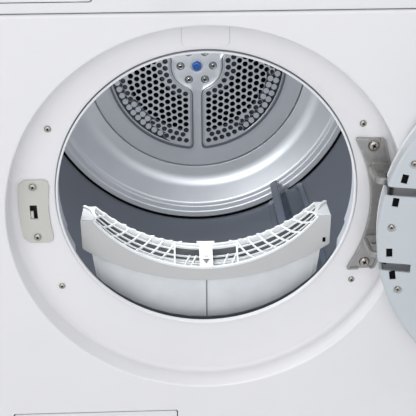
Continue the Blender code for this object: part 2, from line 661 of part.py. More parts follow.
# ---------------------------------------------------------------- drum and drive
def make_drum(looks):
    r = DRUM_RADIUS
    t = 0.0012
    front = DRUM_FRONT_DEPTH
    joint = DRUM_JOINT_DEPTH
    lip = DRUM_LIP_RADIUS
    shell_profile = [
        (lip, front), (r - 0.003, front), (r + t, front + 0.004), (r + t, joint - GAP), (r, joint - GAP),
        (r, front + 0.0045), (r - 0.003, front + t), (lip, front + t)]
    shell = lathe("drum_shell", shell_profile, DRUM_CENTRE, looks["drum_steel"])

    deep = DRUM_BACK_DEPTH
    groove = DRUM_GROOVE_RADIUS
    face = [(0.0235, deep), (0.159, deep), (0.163, deep - 0.0030), (0.167, deep), (groove - 0.006, deep),
            (groove, deep + 0.0030), (groove + 0.006, deep - 0.0020), (0.262, deep - 0.0300), (r - 0.002,
                    joint),
            (r + t, joint)]
    back_side = [(radius, along + t) for radius, along in reversed(face)]
    drum_back = lathe("drum_back", face + back_side, DRUM_CENTRE, looks["drum_steel"])

    hub_profile = [(0.0, deep - 0.0037), (0.0098, deep - 0.0037), (0.0098, deep - 0.0090),
                   (0.0400, deep - 0.0090),
                   (0.0430, deep - 0.0070), (0.0440, deep - GAP), (0.0100, deep - GAP), (0.0100,
                           deep + 0.0400),
                   (0.0, deep + 0.0400)]
    hub = lathe("drum_hub", hub_profile, DRUM_CENTRE, looks["drum_steel"], segments=28)
    cap_profile = [(0.0, deep - 0.0125), (0.0060, deep - 0.0120), (0.0092, deep - 0.0098),
                   (0.0092, deep - 0.0040),
                   (0.0, deep - 0.0040)]
    cap = lathe("hub_cap", cap_profile, DRUM_CENTRE, looks["blue_cap"], segments=20)
    ring_profile = [(0.0105, deep + 0.0180), (0.0300, deep + 0.0180), (0.0300, deep + 0.0300),
                    (0.0105, deep + 0.0300)]
    lathe("rear_bearing", ring_profile, DRUM_CENTRE, looks["steel_screw"], segments=20)

    lifters = []
    for index in range(LIFTER_COUNT):
        lifters.append(make_lifter(index, looks))
    pivot("drum_spin", (0.0, OPENING_Y, OPENING_Z), [shell, drum_back, hub, cap] + lifters)


def make_lifter(index, looks):
    """A hollow-look paddle: wide foot on the shell, rounded ridge, sloping ends."""
    stations = ((0.110, 0.10), (0.135, 0.80), (0.160, 1.0), (0.440, 1.0), (0.465, 0.85), (0.492, 0.15))
    foot_half = 0.042
    ridge_half = 0.013
    flat_radius = DRUM_RADIUS * math.cos(math.pi / ROUND) - GAP    # clear of the shell's facets
    shape = bmesh.new()
    rows = []
    for depth, share in stations:
        height = LIFTER_HEIGHT * share
        section = [(-foot_half, 0.0), (-foot_half * 0.62, height * 0.28),
                   (-ridge_half * 1.25, height * 0.82),
                   (-ridge_half * 0.6, height * 0.97), (0.0, height), (ridge_half * 0.6, height * 0.97),
                   (ridge_half * 1.25, height * 0.82), (foot_half * 0.62, height * 0.28), (foot_half, 0.0)]
        row = []
        for across, rise in section:
            floor = math.sqrt(flat_radius ** 2 - across ** 2)
            row.append(shape.verts.new((across, depth, -(floor - rise))))
        rows.append(row)
    join_rows(shape, rows)
    shape.faces.new(rows[0])
    shape.faces.new(list(reversed(rows[-1])))
    turn = math.radians(90.0 + LIFTER_FIRST_ANGLE + 360.0 / LIFTER_COUNT * index)
    matrix = Matrix.Translation(DRUM_CENTRE) @ Matrix.Rotation(-turn, 4, 'Y')
    bmesh.ops.transform(shape, matrix=matrix, verts=shape.verts)
    return add_object(f"drum_lifter_{index + 1}", shape, looks["lifter_plastic"])


def belt_outline(drum_r, pulley_r):
    """The line of a belt round the drum and the motor pulley, in XZ, counterclockwise."""
    offset = Vector((MOTOR_X, MOTOR_Z - OPENING_Z))
    heading = math.degrees(math.atan2(offset.y, offset.x))
    swing = math.degrees(math.acos((drum_r - pulley_r) / offset.length))
    far = arc((0.0, OPENING_Z), drum_r, heading + swing, heading + 360.0 - swing, 36)
    near = arc((MOTOR_X, MOTOR_Z), pulley_r, heading - swing, heading + swing, 10)
    return far + near


def make_drive(looks):
    inner = belt_outline(DRUM_RADIUS + 0.0012 + BELT_CLEARANCE, PULLEY_RADIUS + BELT_CLEARANCE)
    outer = belt_outline(DRUM_RADIUS + 0.0012 + BELT_CLEARANCE + BELT_THICK,
                         PULLEY_RADIUS + BELT_CLEARANCE + BELT_THICK)
    half = BELT_WIDTH / 2.0
    loop_ring("drive_belt", outer, inner, "Y", BELT_Y - half, BELT_Y + half, looks["rubber"])

    axis = (MOTOR_X, 0.0, MOTOR_Z)
    motor_profile = [(0.0120, BELT_Y + 0.0200), (0.0500, BELT_Y + 0.0200), (0.0580, BELT_Y + 0.0280),
                     (0.0580, BELT_Y + 0.1500),
                     (0.0500, BELT_Y + 0.1580), (0.0120, BELT_Y + 0.1580)]
    lathe("drive_motor", motor_profile, axis, looks["motor_paint"], segments=24)
    pulley_profile = [(0.0, BELT_Y - 0.1150), (0.0060, BELT_Y - 0.1150), (0.0060, BELT_Y - 0.0100),
                      (0.0130, BELT_Y - 0.0090),
                      (0.0130, BELT_Y - 0.0065), (PULLEY_RADIUS, BELT_Y - 0.0060), (PULLEY_RADIUS,
                              BELT_Y + 0.0060),
                      (0.0130, BELT_Y + 0.0065), (0.0130, BELT_Y + 0.0090), (0.0080, BELT_Y + 0.0100),
                      (0.0080, BELT_Y + 0.1700), (0.0, BELT_Y + 0.1700)]
    pulley = lathe("motor_shaft", pulley_profile, axis, looks["steel_screw"], segments=16)
    blower_profile = [(0.0064, BELT_Y - 0.1120), (0.0550, BELT_Y - 0.1120), (0.0550, BELT_Y - 0.0760),
                      (0.0450, BELT_Y - 0.0760),
                      (0.0430, BELT_Y - 0.1070), (0.0064, BELT_Y - 0.1050)]
    blower = lathe("blower_wheel", blower_profile, axis, looks["black_plastic"], segments=24)
    housing_profile = [(0.0200, BELT_Y - 0.1200), (0.0640, BELT_Y - 0.1200), (0.0640, BELT_Y - 0.0640),
                       (0.0200, BELT_Y - 0.0640),
                       (0.0200, BELT_Y - 0.0660), (0.0620, BELT_Y - 0.0660), (0.0620,
                               BELT_Y - 0.1180), (0.0200, BELT_Y - 0.1180)]
    lathe("blower_housing", housing_profile, axis, looks["black_plastic"], segments=24)
    pivot("motor_spin", (MOTOR_X, BELT_Y, MOTOR_Z), [pulley, blower])

    idler_x, idler_z = idler_place()
    idler_profile = [(0.0035, -0.0060), (IDLER_RADIUS, -0.0060), (IDLER_RADIUS, 0.0060), (0.0035, 0.0060)]
    idler = lathe("idler_pulley", idler_profile, (idler_x, BELT_Y, idler_z), looks["black_plastic"],
                  segments=20)
    pivot("idler_spin", (idler_x, BELT_Y, idler_z), [idler])
    arm = box("idler_arm", (idler_x - 0.012, BELT_Y + 0.0075, TRAY_HEIGHT + 0.0005),
              (idler_x + 0.012, BELT_Y + 0.0100, idler_z + 0.012), looks["galvanised"])
    pin = rod("idler_pin_part", 0.0030, (idler_x, BELT_Y - 0.008, idler_z),
              (idler_x, BELT_Y + 0.009, idler_z), None, 16)
    weld(arm, pin)


def idler_place():
    """The idler rests outside the belt's lower straight run, a clearance away from it."""
    offset = Vector((MOTOR_X, MOTOR_Z - OPENING_Z))
    heading = math.atan2(offset.y, offset.x)
    drum_r = DRUM_RADIUS + 0.0012 + BELT_CLEARANCE + BELT_THICK
    pulley_r = PULLEY_RADIUS + BELT_CLEARANCE + BELT_THICK
    swing = math.acos((drum_r - pulley_r) / offset.length)
    side = heading - swing
    normal = Vector((math.cos(side), math.sin(side)))
    start = Vector((MOTOR_X, MOTOR_Z)) + normal * pulley_r
    end = Vector((0.0, OPENING_Z)) + normal * drum_r
    spot = start.lerp(end, 0.30) + normal * (IDLER_RADIUS + BELT_CLEARANCE)
    return spot.x, spot.y


def make_heat_pump(looks):
    floor = BASE_PAD_HEIGHT + TRAY_WALL + GAP
    left = -0.262
    fins = 13
    pitch = 0.0165
    fin = 0.0030
    foot = 0.016
    comb = [(left, floor)]
    for index in range(fins):
        edge = left + pitch * index
        comb += [(edge, 0.188), (edge + fin, 0.188)]
        if index < fins - 1:
            comb += [(edge + fin, foot), (edge + pitch, foot)]
    comb += [(left + pitch * (fins - 1) + fin, floor)]
    prism("heat_exchanger", comb, "Y", -0.270, 0.060, looks["fin_aluminium"])
    compressor_profile = [(0.0, floor), (0.0600, floor), (0.0720, floor + 0.012), (0.0720, 0.1650),
                          (0.0560, 0.1850), (0.0, 0.1920)]
    lathe("compressor", compressor_profile, (0.165, 0.205, 0.0), looks["motor_paint"], segments=24,
          axis="Z")
    pump_profile = [(0.0, floor), (0.0300, floor), (0.0300, 0.0700), (0.0220, 0.0780), (0.0, 0.0800)]
    lathe("drain_pump", pump_profile, (-0.200, 0.200, 0.0), looks["white_plastic"], segments=20, axis="Z")


# ---------------------------------------------------------------- door furniture on the dish floor
def polar(radius, angle_deg, centre_z=DISH_Z):
    angle = math.radians(angle_deg)
    return radius * math.cos(angle), centre_z + radius * math.sin(angle)


def screw(name, x, z, seat_y, radius, looks):
    """A pan-head screw: its head stands forward of the seat."""
    head = radius * 0.45
    profile = [(0.0, -head), (radius * 0.75, -head * 0.90), (radius, 0.0), (0.0, 0.0)]
    return lathe(name, profile, (x, seat_y - GAP, z), looks["steel_screw"], segments=14)


def make_panel_screws(looks):
    half_x = 0.1866
    half_z = 0.1075
    for index, (x, z) in enumerate(((-1, 1), (1, 1), (-1, -1), (1, -1))):
        screw(f"panel_screw_{index + 1}", x * half_x, DISH_Z + z * half_z, OPENING_Y, 0.0040, looks)


def make_latch(looks):
    inner = 0.194
    outer = 0.2300
    half_height = 0.043
    corner = 0.011
    outline = sector_outline(inner, outer, half_height, corner)
    outline = [(-x, z) for x, z in outline]
    plate = prism("latch_plate", outline, "Y", OPENING_Y - 0.0034, OPENING_Y - GAP, looks["latch_plastic"])
    mouth = box("latch_slot_cut", (-0.2172, OPENING_Y - 0.01, DISH_Z - 0.0098),
                (-0.2078, OPENING_Y + 0.01, DISH_Z + 0.0098), None)
    cut(plate, mouth)
    for index, side in enumerate((1.0, -1.0)):
        x, z = polar(0.2135, 180.0 - side * 9.2)
        screw(f"latch_screw_{index + 1}", x, z, OPENING_Y - 0.0034, 0.0038, looks)
    open_box("door_lock", (-0.2290, OPENING_Y + SHEET + GAP, DISH_Z - 0.040),
             (-0.1990, OPENING_Y + 0.0100, DISH_Z + 0.040),
             0.0020, (0, -1, 0), looks["black_plastic"])


def sector_outline(inner, outer, half_height, corner):
    """A plate between two arcs about the dish centre, cut level at top and bottom, rounded corners."""
    outer_deg = math.degrees(math.asin((half_height - corner) / outer))
    inner_deg = math.degrees(math.asin((half_height - corner * 0.5) / inner))
    points = [polar(outer, outer_deg * (1.0 - 2.0 * step / 10)) for step in range(11)]
    low_corner = [polar(outer - corner * 0.35, -outer_deg - 1.7),
                  polar(outer - corner * 1.1, -outer_deg - 2.6)]
    low_inner = [polar(inner + corner * 0.6, -inner_deg - 1.2)]
    points += low_corner + low_inner
    points += [polar(inner, -inner_deg * (1.0 - 2.0 * step / 10)) for step in range(11)]
    upper_inner = [polar(inner + corner * 0.6, inner_deg + 1.2)]
    upper_corner = [polar(outer - corner * 1.1, outer_deg + 2.6),
                    polar(outer - corner * 0.35, outer_deg + 1.7)]
    return points + upper_inner + upper_corner


def arm_outline(thick):
    """A hinge arm from above: up from the plate, round a bend and across to the eye on the pin."""
    stem_x = HINGE_X - 0.0205
    half = thick / 2.0
    root_y = OPENING_Y - 0.0030
    bend = 0.0060
    eye = 0.0048
    outline = [(stem_x - half, root_y)]
    outline += arc((stem_x + bend, HINGE_Y + bend - 0.0005), bend + half, 180.0, 270.0, 6)
    outline += arc((HINGE_X, HINGE_Y), eye, -100.0, 100.0, 10)
    outline += arc((stem_x + bend + half * 0.4, HINGE_Y + bend + half * 0.4), bend - half * 0.6, 270.0,
                   180.0, 4)
    outline += [(stem_x + half, root_y)]
    return outline


def make_hinge(looks):
    plate_front = OPENING_Y - 0.0055
    inner = 0.2000
    outer = 0.2305
    half_height = 0.0915
    outer_deg = 20.8
    inner_deg = math.degrees(math.asin(half_height / inner))
    outline = [polar(outer, outer_deg * (1.0 - step / 10.0)) for step in range(21)]
    outline += [(0.2100, DISH_Z - half_height + 0.002), (0.2060, DISH_Z - half_height)]
    outline += [polar(inner, -inner_deg * (1.0 - step / 10.0)) for step in range(21)]
    outline += [(0.2060, DISH_Z + half_height), (0.2100, DISH_Z + half_height - 0.002)]
    bracket = prism("hinge_bracket", outline, "Y", plate_front, OPENING_Y - GAP, looks["zinc_casting"])
    for index, side in enumerate((1.0, -1.0)):
        z = DISH_Z + side * ARM_OFFSET_Z
        arm = prism(f"hinge_arm_part_{index + 1}", arm_outline(0.0090), "Z", z - ARM_HALF_HEIGHT,
                    z + ARM_HALF_HEIGHT, None)
        weld(bracket, arm)
    bore = rod("hinge_bore_cut", HINGE_PIN_RADIUS + 0.0004, (HINGE_X, HINGE_Y, DISH_Z - 0.08),
               (HINGE_X, HINGE_Y, DISH_Z + 0.08), None, 24)
    cut(bracket, bore)
    for index, side in enumerate((1.0, -1.0)):
        x = 0.2010
        z = DISH_Z + side * 0.0800
        seat = OPENING_Y - 0.0022
        pocket = rod(f"hinge_pocket_cut_{index + 1}", 0.0072, (x, seat, z), (x, seat - 0.02, z), None, 28)
        open_end = box(f"hinge_pocket_side_cut_{index + 1}",
                       (x - 0.0072, seat - 0.02, min(z, z + side * 0.03)),
                       (x + 0.0072, seat, max(z, z + side * 0.03)), None)
        cut(bracket, pocket, open_end)
        screw(f"hinge_screw_{index + 1}", x, z, seat, 0.0046, looks)


def make_lamp_cover(looks):
    top = OPENING_Z + RECESS_RADIUS - RECESS_DROP - 0.0110
    outline = [(0.027, top), (0.027, 0.196 + OPENING_Z)] + arc((0.020, OPENING_Z + 0.195), 0.007, 0.0,
            -90.0, 4)
    outline += arc((-0.020, OPENING_Z + 0.195), 0.007, -90.0, -180.0, 4) + [(-0.027, 0.196 + OPENING_Z),
            (-0.027, top)]
    prism("lamp_cover", outline, "Y", OPENING_Y - 0.0045, OPENING_Y - GAP, looks["white_plastic"])


# ---------------------------------------------------------------- door
def make_door(looks):
    """Built closed, then swung open about the hinge pin."""
    r = DOOR_RADIUS
    w = DOOR_WALL
    inner_y = DOOR_INNER_Y
    outer_y = DOOR_OUTER_Y
    window = DOOR_WINDOW_RADIUS
    outer_profile = [
        (r - 0.0014, inner_y - 0.0030), (r, inner_y - 0.0060), (r, outer_y + 0.0070), (r - 0.0022,
                outer_y + 0.0022),
        (r - 0.0080, outer_y), (0.190, outer_y - 0.0012), (window + 0.0100, outer_y - 0.0062), (window,
                outer_y - 0.0070),
        (window, outer_y - 0.0070 + w), (window + 0.0100, outer_y - 0.0062 + w), (0.190,
                outer_y - 0.0012 + w),
        (r - 0.0080, outer_y + w), (r - 0.0030, outer_y + 0.0045), (r - w, outer_y + 0.0075), (r - w,
                inner_y - 0.0030)]
    outer = lathe("door_outer", outer_profile, DISH_CENTRE, looks["white_plastic"], segments=DOOR_FACETS)
    glass_edge = window - 0.0005
    pane_profile = [(0.0, DOOR_DOME_Y), (0.080, DOOR_DOME_Y + 0.0006), (glass_edge, outer_y - 0.0068),
                    (glass_edge, outer_y - 0.0040), (0.080, DOOR_DOME_Y + 0.0034), (0.0,
                            DOOR_DOME_Y + 0.0028)]
    pane = lathe("door_window", pane_profile, DISH_CENTRE, looks["smoked_glass"], segments=DOOR_FACETS)
    edge = r - w - 0.0005
    ring_profile = [
        (edge, inner_y - 0.0120), (edge, inner_y - 0.0030), (edge - 0.0010,
                inner_y - 0.0010), (edge - 0.0035, inner_y),
        (0.172, inner_y), (0.163, inner_y - 0.0040), (0.163, inner_y - 0.0062), (0.171, inner_y - w),
        (edge - 0.0035, inner_y - w), (edge - w, inner_y - 0.0040), (edge - w, inner_y - 0.0120)]
    inner = lathe("door_inner", ring_profile, DISH_CENTRE, looks["door_plastic"], segments=DOOR_FACETS)
    bowl_back = inner_y - 0.0066
    deep = DOOR_BOWL_DEPTH
    bowl_profile = [
        (0.0, deep), (0.110, deep), (0.140, deep - 0.0030), (0.150, deep - 0.0100), (0.1570, bowl_back),
        (0.1720, bowl_back), (0.1720, bowl_back - 0.0030), (0.1540, bowl_back - 0.0030), (0.1465,
                deep - 0.0115),
        (0.138, deep - 0.0060), (0.110, deep - 0.0032), (0.0, deep - 0.0032)]
    bowl = lathe("door_bowl", bowl_profile, DISH_CENTRE, looks["clear_bowl"], segments=DOOR_FACETS)

    slot_low_y = HINGE_Y - 0.0053
    for index, side in enumerate((1.0, -1.0)):
        z = DISH_Z + side * ARM_OFFSET_Z
        for item, tag in ((outer, "outer"), (inner, "inner")):
            slot = box(f"door_{tag}_slot_cut_{index + 1}",
                       (HINGE_X - 0.0290, slot_low_y, z - ARM_HALF_HEIGHT - 0.0020),
                       (HINGE_X + 0.0300, OPENING_Y + 0.0100, z + ARM_HALF_HEIGHT + 0.0020), None)
            cut(item, slot)

    grip_half = 0.040
    grip_left = -0.2205
    grip_right = -0.1950
    liner = box("door_grip_part", (grip_left, OPENING_Y + outer_y + 0.0008, DISH_Z - grip_half),
                (grip_right, OPENING_Y + outer_y + 0.0200, DISH_Z + grip_half), None)
    scoop = box("door_grip_cut", (grip_left + 0.0020, OPENING_Y + outer_y - 0.0100,
                                  DISH_Z - grip_half + 0.0020),
                (grip_right - 0.0020, OPENING_Y + outer_y + 0.0180, DISH_Z + grip_half - 0.0020), None)
    weld(outer, liner)
    cut(outer, scoop)

    pin = rod("hinge_pin", HINGE_PIN_RADIUS, (HINGE_X, HINGE_Y, DISH_Z - ARM_OFFSET_Z - 0.0150),
              (HINGE_X, HINGE_Y, DISH_Z + ARM_OFFSET_Z + 0.0150), looks["steel_screw"], 20)
    hook_x = -0.2110
    hook = box("door_hook", (hook_x - 0.0018, OPENING_Y + inner_y + GAP, DISH_Z - 0.0070),
               (hook_x + 0.0018, OPENING_Y + 0.0075, DISH_Z + 0.0070), looks["latch_plastic"], bevel=0.0006)
    swing = pivot("door_hinge", (HINGE_X, HINGE_Y, DISH_Z), [outer, pane, inner, bowl, pin, hook])
    swing.rotation_euler = (0.0, 0.0, math.radians(DOOR_OPEN_DEG))


def main():
    clear_scene()
    looks = make_materials()
    make_base(looks)
    make_side_panels(looks)
    make_rear_panel(looks)
    make_front_panel(looks)
    make_worktop(looks)
    make_service_flap(looks)
    make_controls(looks)
    make_water_tank(looks)
    make_collar(looks)
    make_filter(looks)
    make_drum(looks)
    make_drive(looks)
    make_heat_pump(looks)
    make_panel_screws(looks)
    make_latch(looks)
    make_hinge(looks)
    make_lamp_cover(looks)
    make_door(looks)


main()
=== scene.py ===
"""Looks for the tumble dryer: camera, studio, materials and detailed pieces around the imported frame.

Metres, +Z up, in the CAD's frame, with the front facing -Y. Most places are given from the mouth, the
centre of the loading opening: x to the right, depth into the machine and height above the centre.
"""
import json
from math import asin, atan2, cos, degrees, hypot, pi, radians, sin, sqrt, tan, tau

import bmesh
import bpy
from mathutils import Matrix, Vector


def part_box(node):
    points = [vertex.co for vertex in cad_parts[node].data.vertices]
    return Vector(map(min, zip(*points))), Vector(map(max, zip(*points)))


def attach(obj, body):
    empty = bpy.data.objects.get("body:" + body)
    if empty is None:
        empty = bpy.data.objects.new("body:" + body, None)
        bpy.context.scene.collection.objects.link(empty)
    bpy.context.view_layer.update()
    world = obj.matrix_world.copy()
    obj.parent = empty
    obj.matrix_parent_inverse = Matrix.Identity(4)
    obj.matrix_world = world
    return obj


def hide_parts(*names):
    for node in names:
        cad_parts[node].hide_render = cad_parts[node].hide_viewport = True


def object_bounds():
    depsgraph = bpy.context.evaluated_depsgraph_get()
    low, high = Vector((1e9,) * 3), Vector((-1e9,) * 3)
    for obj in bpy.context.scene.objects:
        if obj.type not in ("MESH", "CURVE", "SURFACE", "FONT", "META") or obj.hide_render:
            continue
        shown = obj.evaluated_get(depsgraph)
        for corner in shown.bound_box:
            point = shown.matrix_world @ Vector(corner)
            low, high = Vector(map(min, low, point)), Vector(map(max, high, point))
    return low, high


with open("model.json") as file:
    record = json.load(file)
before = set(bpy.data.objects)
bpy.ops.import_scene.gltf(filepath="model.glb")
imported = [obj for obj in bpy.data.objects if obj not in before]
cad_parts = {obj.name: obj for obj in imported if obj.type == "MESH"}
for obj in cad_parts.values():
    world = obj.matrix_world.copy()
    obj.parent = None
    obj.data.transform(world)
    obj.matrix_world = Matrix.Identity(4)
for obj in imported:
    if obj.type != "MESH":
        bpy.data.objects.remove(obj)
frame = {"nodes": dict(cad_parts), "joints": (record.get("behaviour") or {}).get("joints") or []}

CAD_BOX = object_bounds()

# ---------------------------------------------------------------- places taken from the frame
JOINTS = {joint["name"]: joint for joint in frame["joints"]}
MOUTH = Vector(JOINTS["drum_spin"]["pos_m"])
HINGE = Vector(JOINTS["door_hinge"]["pos_m"])
DOOR_OPEN = radians(168.0)            # the door's swing at rest, from closed
FRONT_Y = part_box("front_panel")[0].y

RECESS_DEPTH = MOUTH.y - FRONT_Y           # the recess that the door closes into
RECESS_RADIUS = 0.241
RECESS_DROP = 0.0205
OPENING_RADIUS = 0.185

DRUM_RADIUS = 0.287
DRUM_FRONT = 0.081                        # depths from the mouth
DRUM_JOINT = 0.508
DISC_DEPTH = 0.553
HUB_DEPTH = 0.544

ROUND = 192                                # facets of the large round pieces
UPWARD = Vector((0.0, 0.0, 1.0))
FORWARD = Vector((0.0, -1.0, 0.0))


# ---------------------------------------------------------------- outlines
def mouth(x, depth, height):
    return Vector((MOUTH.x + x, MOUTH.y + depth, MOUTH.z + height))


def arc(centre, radius, start_deg, end_deg, steps):
    points = []
    for step in range(steps + 1):
        angle = radians(start_deg + (end_deg - start_deg) * step / steps)
        points.append((centre[0] + radius * cos(angle), centre[1] + radius * sin(angle)))
    return points


def circle(centre, radius, count):
    """A full circle of count points."""
    return arc(centre, radius, 0.0, 360.0 - 360.0 / count, count - 1)


def hung_arc(reach, end_height, dip, steps):
    """An arc hung between two points at the same height, which it passes below by dip."""
    radius = (reach ** 2 + dip ** 2) / (2.0 * dip)
    swing = degrees(asin(reach / radius))
    return arc((0.0, end_height - dip + radius), radius, -90.0 - swing, -90.0 + swing, steps)


def rounded(corners, closed=True, steps=5):
    """Turns each corner (a, b, radius) of an outline into an arc; a corner (a, b) stays sharp."""
    points = []
    count = len(corners)
    for index, corner in enumerate(corners):
        here = Vector(corner[:2])
        ends = not closed and index in (0, count - 1)
        if len(corner) < 3 or ends:
            points.append((here.x, here.y))
            continue
        before = Vector(corners[index - 1][:2]) - here
        after = Vector(corners[(index + 1) % count][:2]) - here
        half = before.angle(after) / 2.0
        reach = min(corner[2] / tan(half), 0.49 * before.length, 0.49 * after.length)
        start = here + before.normalized() * reach
        end = here + after.normalized() * reach
        pull = sin(half)
        for step in range(steps + 1):
            s = step / steps
            weights = ((1.0 - s) ** 2, 2.0 * s * (1.0 - s) * pull, s ** 2)
            point = (start * weights[0] + here * weights[1] + end * weights[2]) / sum(weights)
            points.append((point.x, point.y))
    return points


def rectangle(left, low, right, high, radius=0.0):
    corners = [(left, low, radius), (right, low, radius), (right, high, radius), (left, high, radius)]
    return rounded(corners) if radius else [corner[:2] for corner in corners]


# ---------------------------------------------------------------- shapes
def bridge(shape, rows, closed_rows=True):
    """Faces between rows of vertices that have the same number of points."""
    for first, second in zip(rows, rows[1:]):
        count = len(first)
        for index in range(count if closed_rows else count - 1):
            after = (index + 1) % count
            shape.faces.new((first[index], first[after], second[after], second[index]))


def tidy(shape):
    bmesh.ops.remove_doubles(shape, verts=shape.verts, dist=0.00001)
    bmesh.ops.recalc_face_normals(shape, faces=shape.faces)
    return shape


def placed(axis, a, b, along):
    return {"X": (along, a, b), "Y": (a, along, b), "Z": (a, b, along)}[axis]


def lathe(profile, centre=None, axis="Y", steps=ROUND):
    """Turns a closed outline of (radius, along) points about an axis."""
    shape = bmesh.new()
    centre = MOUTH if centre is None else Vector(centre)
    turns = [tau * step / steps for step in range(steps)]
    rows = []
    for radius, along in profile:
        rows.append([shape.verts.new(centre + Vector(placed(
            axis, radius * cos(turn), radius * sin(turn), along))) for turn in turns])
    bridge(shape, rows + rows[:1])
    bmesh.ops.remove_doubles(shape, verts=shape.verts, dist=0.00001)
    bmesh.ops.dissolve_degenerate(shape, dist=0.00001, edges=shape.edges)
    return tidy(shape)


def skin(rows, closed_rows=True):
    """An open sheet through rows of 3-D points, and the rows of its vertices."""
    shape = bmesh.new()
    made = [[shape.verts.new(point) for point in row] for row in rows]
    bridge(shape, made, closed_rows)
    return shape, made


def loft(rows, cap=True):
    """A skin through closed rows of 3-D points, capped at both ends."""
    shape, made = skin(rows)
    if cap:
        shape.faces.new(made[0])
        shape.faces.new(list(reversed(made[-1])))
    return tidy(shape)


def prism(outline, low, high, axis="Y", soft=0.0, origin=(0.0, 0.0, 0.0)):
    """An outline run along an axis between two planes, its edges rounded by soft."""
    base = Vector(origin)
    rows = [[base + Vector(placed(axis, a, b, along)) for a, b in outline] for along in (low, high)]
    shape = loft(rows)
    if soft:
        soften(shape, soft)
    return shape


def soften(shape, width, sharp_deg=30.0, segments=2):
    edges = [edge for edge in shape.edges
             if len(edge.link_faces) == 2 and degrees(edge.calc_face_angle(0.0)) > sharp_deg]
    bmesh.ops.bevel(shape, geom=edges, offset=width, segments=segments, profile=0.6, affect="EDGES",
                    clamp_overlap=True)
    return tidy(shape)


def block(low, high, soft=0.0):
    return prism(rectangle(low[0], low[2], high[0], high[2]), low[1], high[1], soft=soft)


def panel(box, gap, radius, start, end, soft=0.0, axis="Y"):
    """A plate that fills a box but for a gap all round, between two planes across the axis."""
    low, high = [corner.xz if axis == "Y" else corner.xy for corner in box]
    outline = rectangle(low[0] + gap, low[1] + gap, high[0] - gap, high[1] - gap, radius)
    return prism(outline, start, end, axis, soft)


def centre_of(node):
    return tuple((start + end) / 2.0 for start, end in zip(*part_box(node)))


def bar(path, wide, tall, up=UPWARD, soft=0.0):
    """A bar of rectangular section along a path; tall is measured down from the path."""
    rows = []
    for index, point in enumerate(path):
        ahead = path[min(index + 1, len(path) - 1)]
        behind = path[max(index - 1, 0)]
        side = (ahead - behind).cross(up).normalized() * wide / 2.0
        rows.append([point - side, point + side, point + side - up * tall, point - side - up * tall])
    shape = loft(rows)
    if soft:
        soften(shape, soft)
    return shape


def fill(shape, loops, y):
    """A flat sheet in the plane y, bounded by the first loop, with the others as holes."""
    edges = []
    for loop in loops:
        row = [shape.verts.new((a, y, b)) for a, b in loop]
        edges += [shape.edges.new((row[index - 1], row[index])) for index in range(len(row))]
    made = bmesh.ops.triangle_fill(shape, use_beauty=True, use_dissolve=False, edges=edges)
    return [item for item in made["geom"] if isinstance(item, bmesh.types.BMFace)]


def join(*shapes):
    """One shape out of several, which are used up."""
    total = shapes[0]
    for shape in shapes[1:]:
        spare = bpy.data.meshes.new("spare")
        shape.to_mesh(spare)
        total.from_mesh(spare)
        bpy.data.meshes.remove(spare)
        shape.free()
    return total


def moved(shape, matrix):
    bmesh.ops.transform(shape, matrix=matrix, verts=shape.verts)
    return shape


def copied(shape, matrix):
    return moved(shape.copy(), matrix)


# ---------------------------------------------------------------- objects
def make_object(name, shape):
    mesh = bpy.data.meshes.new(name)
    shape.to_mesh(mesh)
    shape.free()
    item = bpy.data.objects.new(name, mesh)
    bpy.context.collection.objects.link(item)
    return item


def applied(item):
    """Bakes an object's modifiers into its mesh."""
    bpy.context.view_layer.update()
    graph = bpy.context.evaluated_depsgraph_get()
    made = bpy.data.meshes.new_from_object(item.evaluated_get(graph))
    old = item.data
    item.modifiers.clear()
    item.data = made
    bpy.data.meshes.remove(old)
    made.name = item.name
    return item


def facing(shape, direction):
    """Turns an open sheet's faces so that they look that way on the whole."""
    look = sum((face.normal * face.calc_area() for face in shape.faces), Vector())
    if look.dot(Vector(direction)) < 0.0:
        bmesh.ops.reverse_faces(shape, faces=shape.faces)
    return shape


def solid(shape, thickness, offset=-1.0):
    """Gives a sheet a thickness. Offset 1 grows it along its normals and -1 against them."""
    item = make_object("sheet", shape)
    grow = item.modifiers.new("grow", "SOLIDIFY")
    grow.thickness = thickness
    grow.offset = offset
    return taken(applied(item))


def taken(item):
    """The shape of an object, which is removed."""
    shape = bmesh.new()
    shape.from_mesh(item.data)
    mesh = item.data
    bpy.data.objects.remove(item)
    bpy.data.meshes.remove(mesh)
    return shape


def carved(shape, *cutters, union=False):
    """A shape with others cut out of it, or welded to it."""
    item = make_object("carved", shape)
    helpers = []
    for cutter in cutters:
        helper = make_object("cutter", cutter)
        step = item.modifiers.new("cut", "BOOLEAN")
        step.operation = "UNION" if union else "DIFFERENCE"
        step.object = helper
        helpers.append(helper)
    applied(item)
    for helper in helpers:
        mesh = helper.data
        bpy.data.objects.remove(helper)
        bpy.data.meshes.remove(mesh)
    return taken(item)


SECOND_LOOKS = {"screw": "void", "silver": "crease"}       # for the faces that carry material index 1: painted shade in the screw recesses and in the drum back's grooves and dimples


def piece(name, shape, look, body, stands_for=(), sharp_deg=32.0):
    """A finished piece of the dryer: shaded, painted, riding on its body."""
    item = make_object(name, shape)
    item.data.shade_smooth()
    item.data.set_sharp_from_angle(angle=radians(sharp_deg))
    item.data.materials.append(LOOKS[look])
    if look in SECOND_LOOKS:
        item.data.materials.append(LOOKS[SECOND_LOOKS[look]])
    even = item.modifiers.new("even", "WEIGHTED_NORMAL")
    even.keep_sharp = True
    if body == "door":
        swing = Matrix.Translation(HINGE) @ Matrix.Rotation(DOOR_OPEN, 4, "Z") @ Matrix.Translation(-HINGE)
        item.data.transform(swing)
    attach(item, body)
    if stands_for:
        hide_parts(*stands_for)
    return item


def dress(look, *nodes):
    """Gives CAD nodes whose shape stays their finish."""
    for node in nodes:
        materials = frame["nodes"][node].data.materials
        materials.clear()
        materials.append(LOOKS[look])


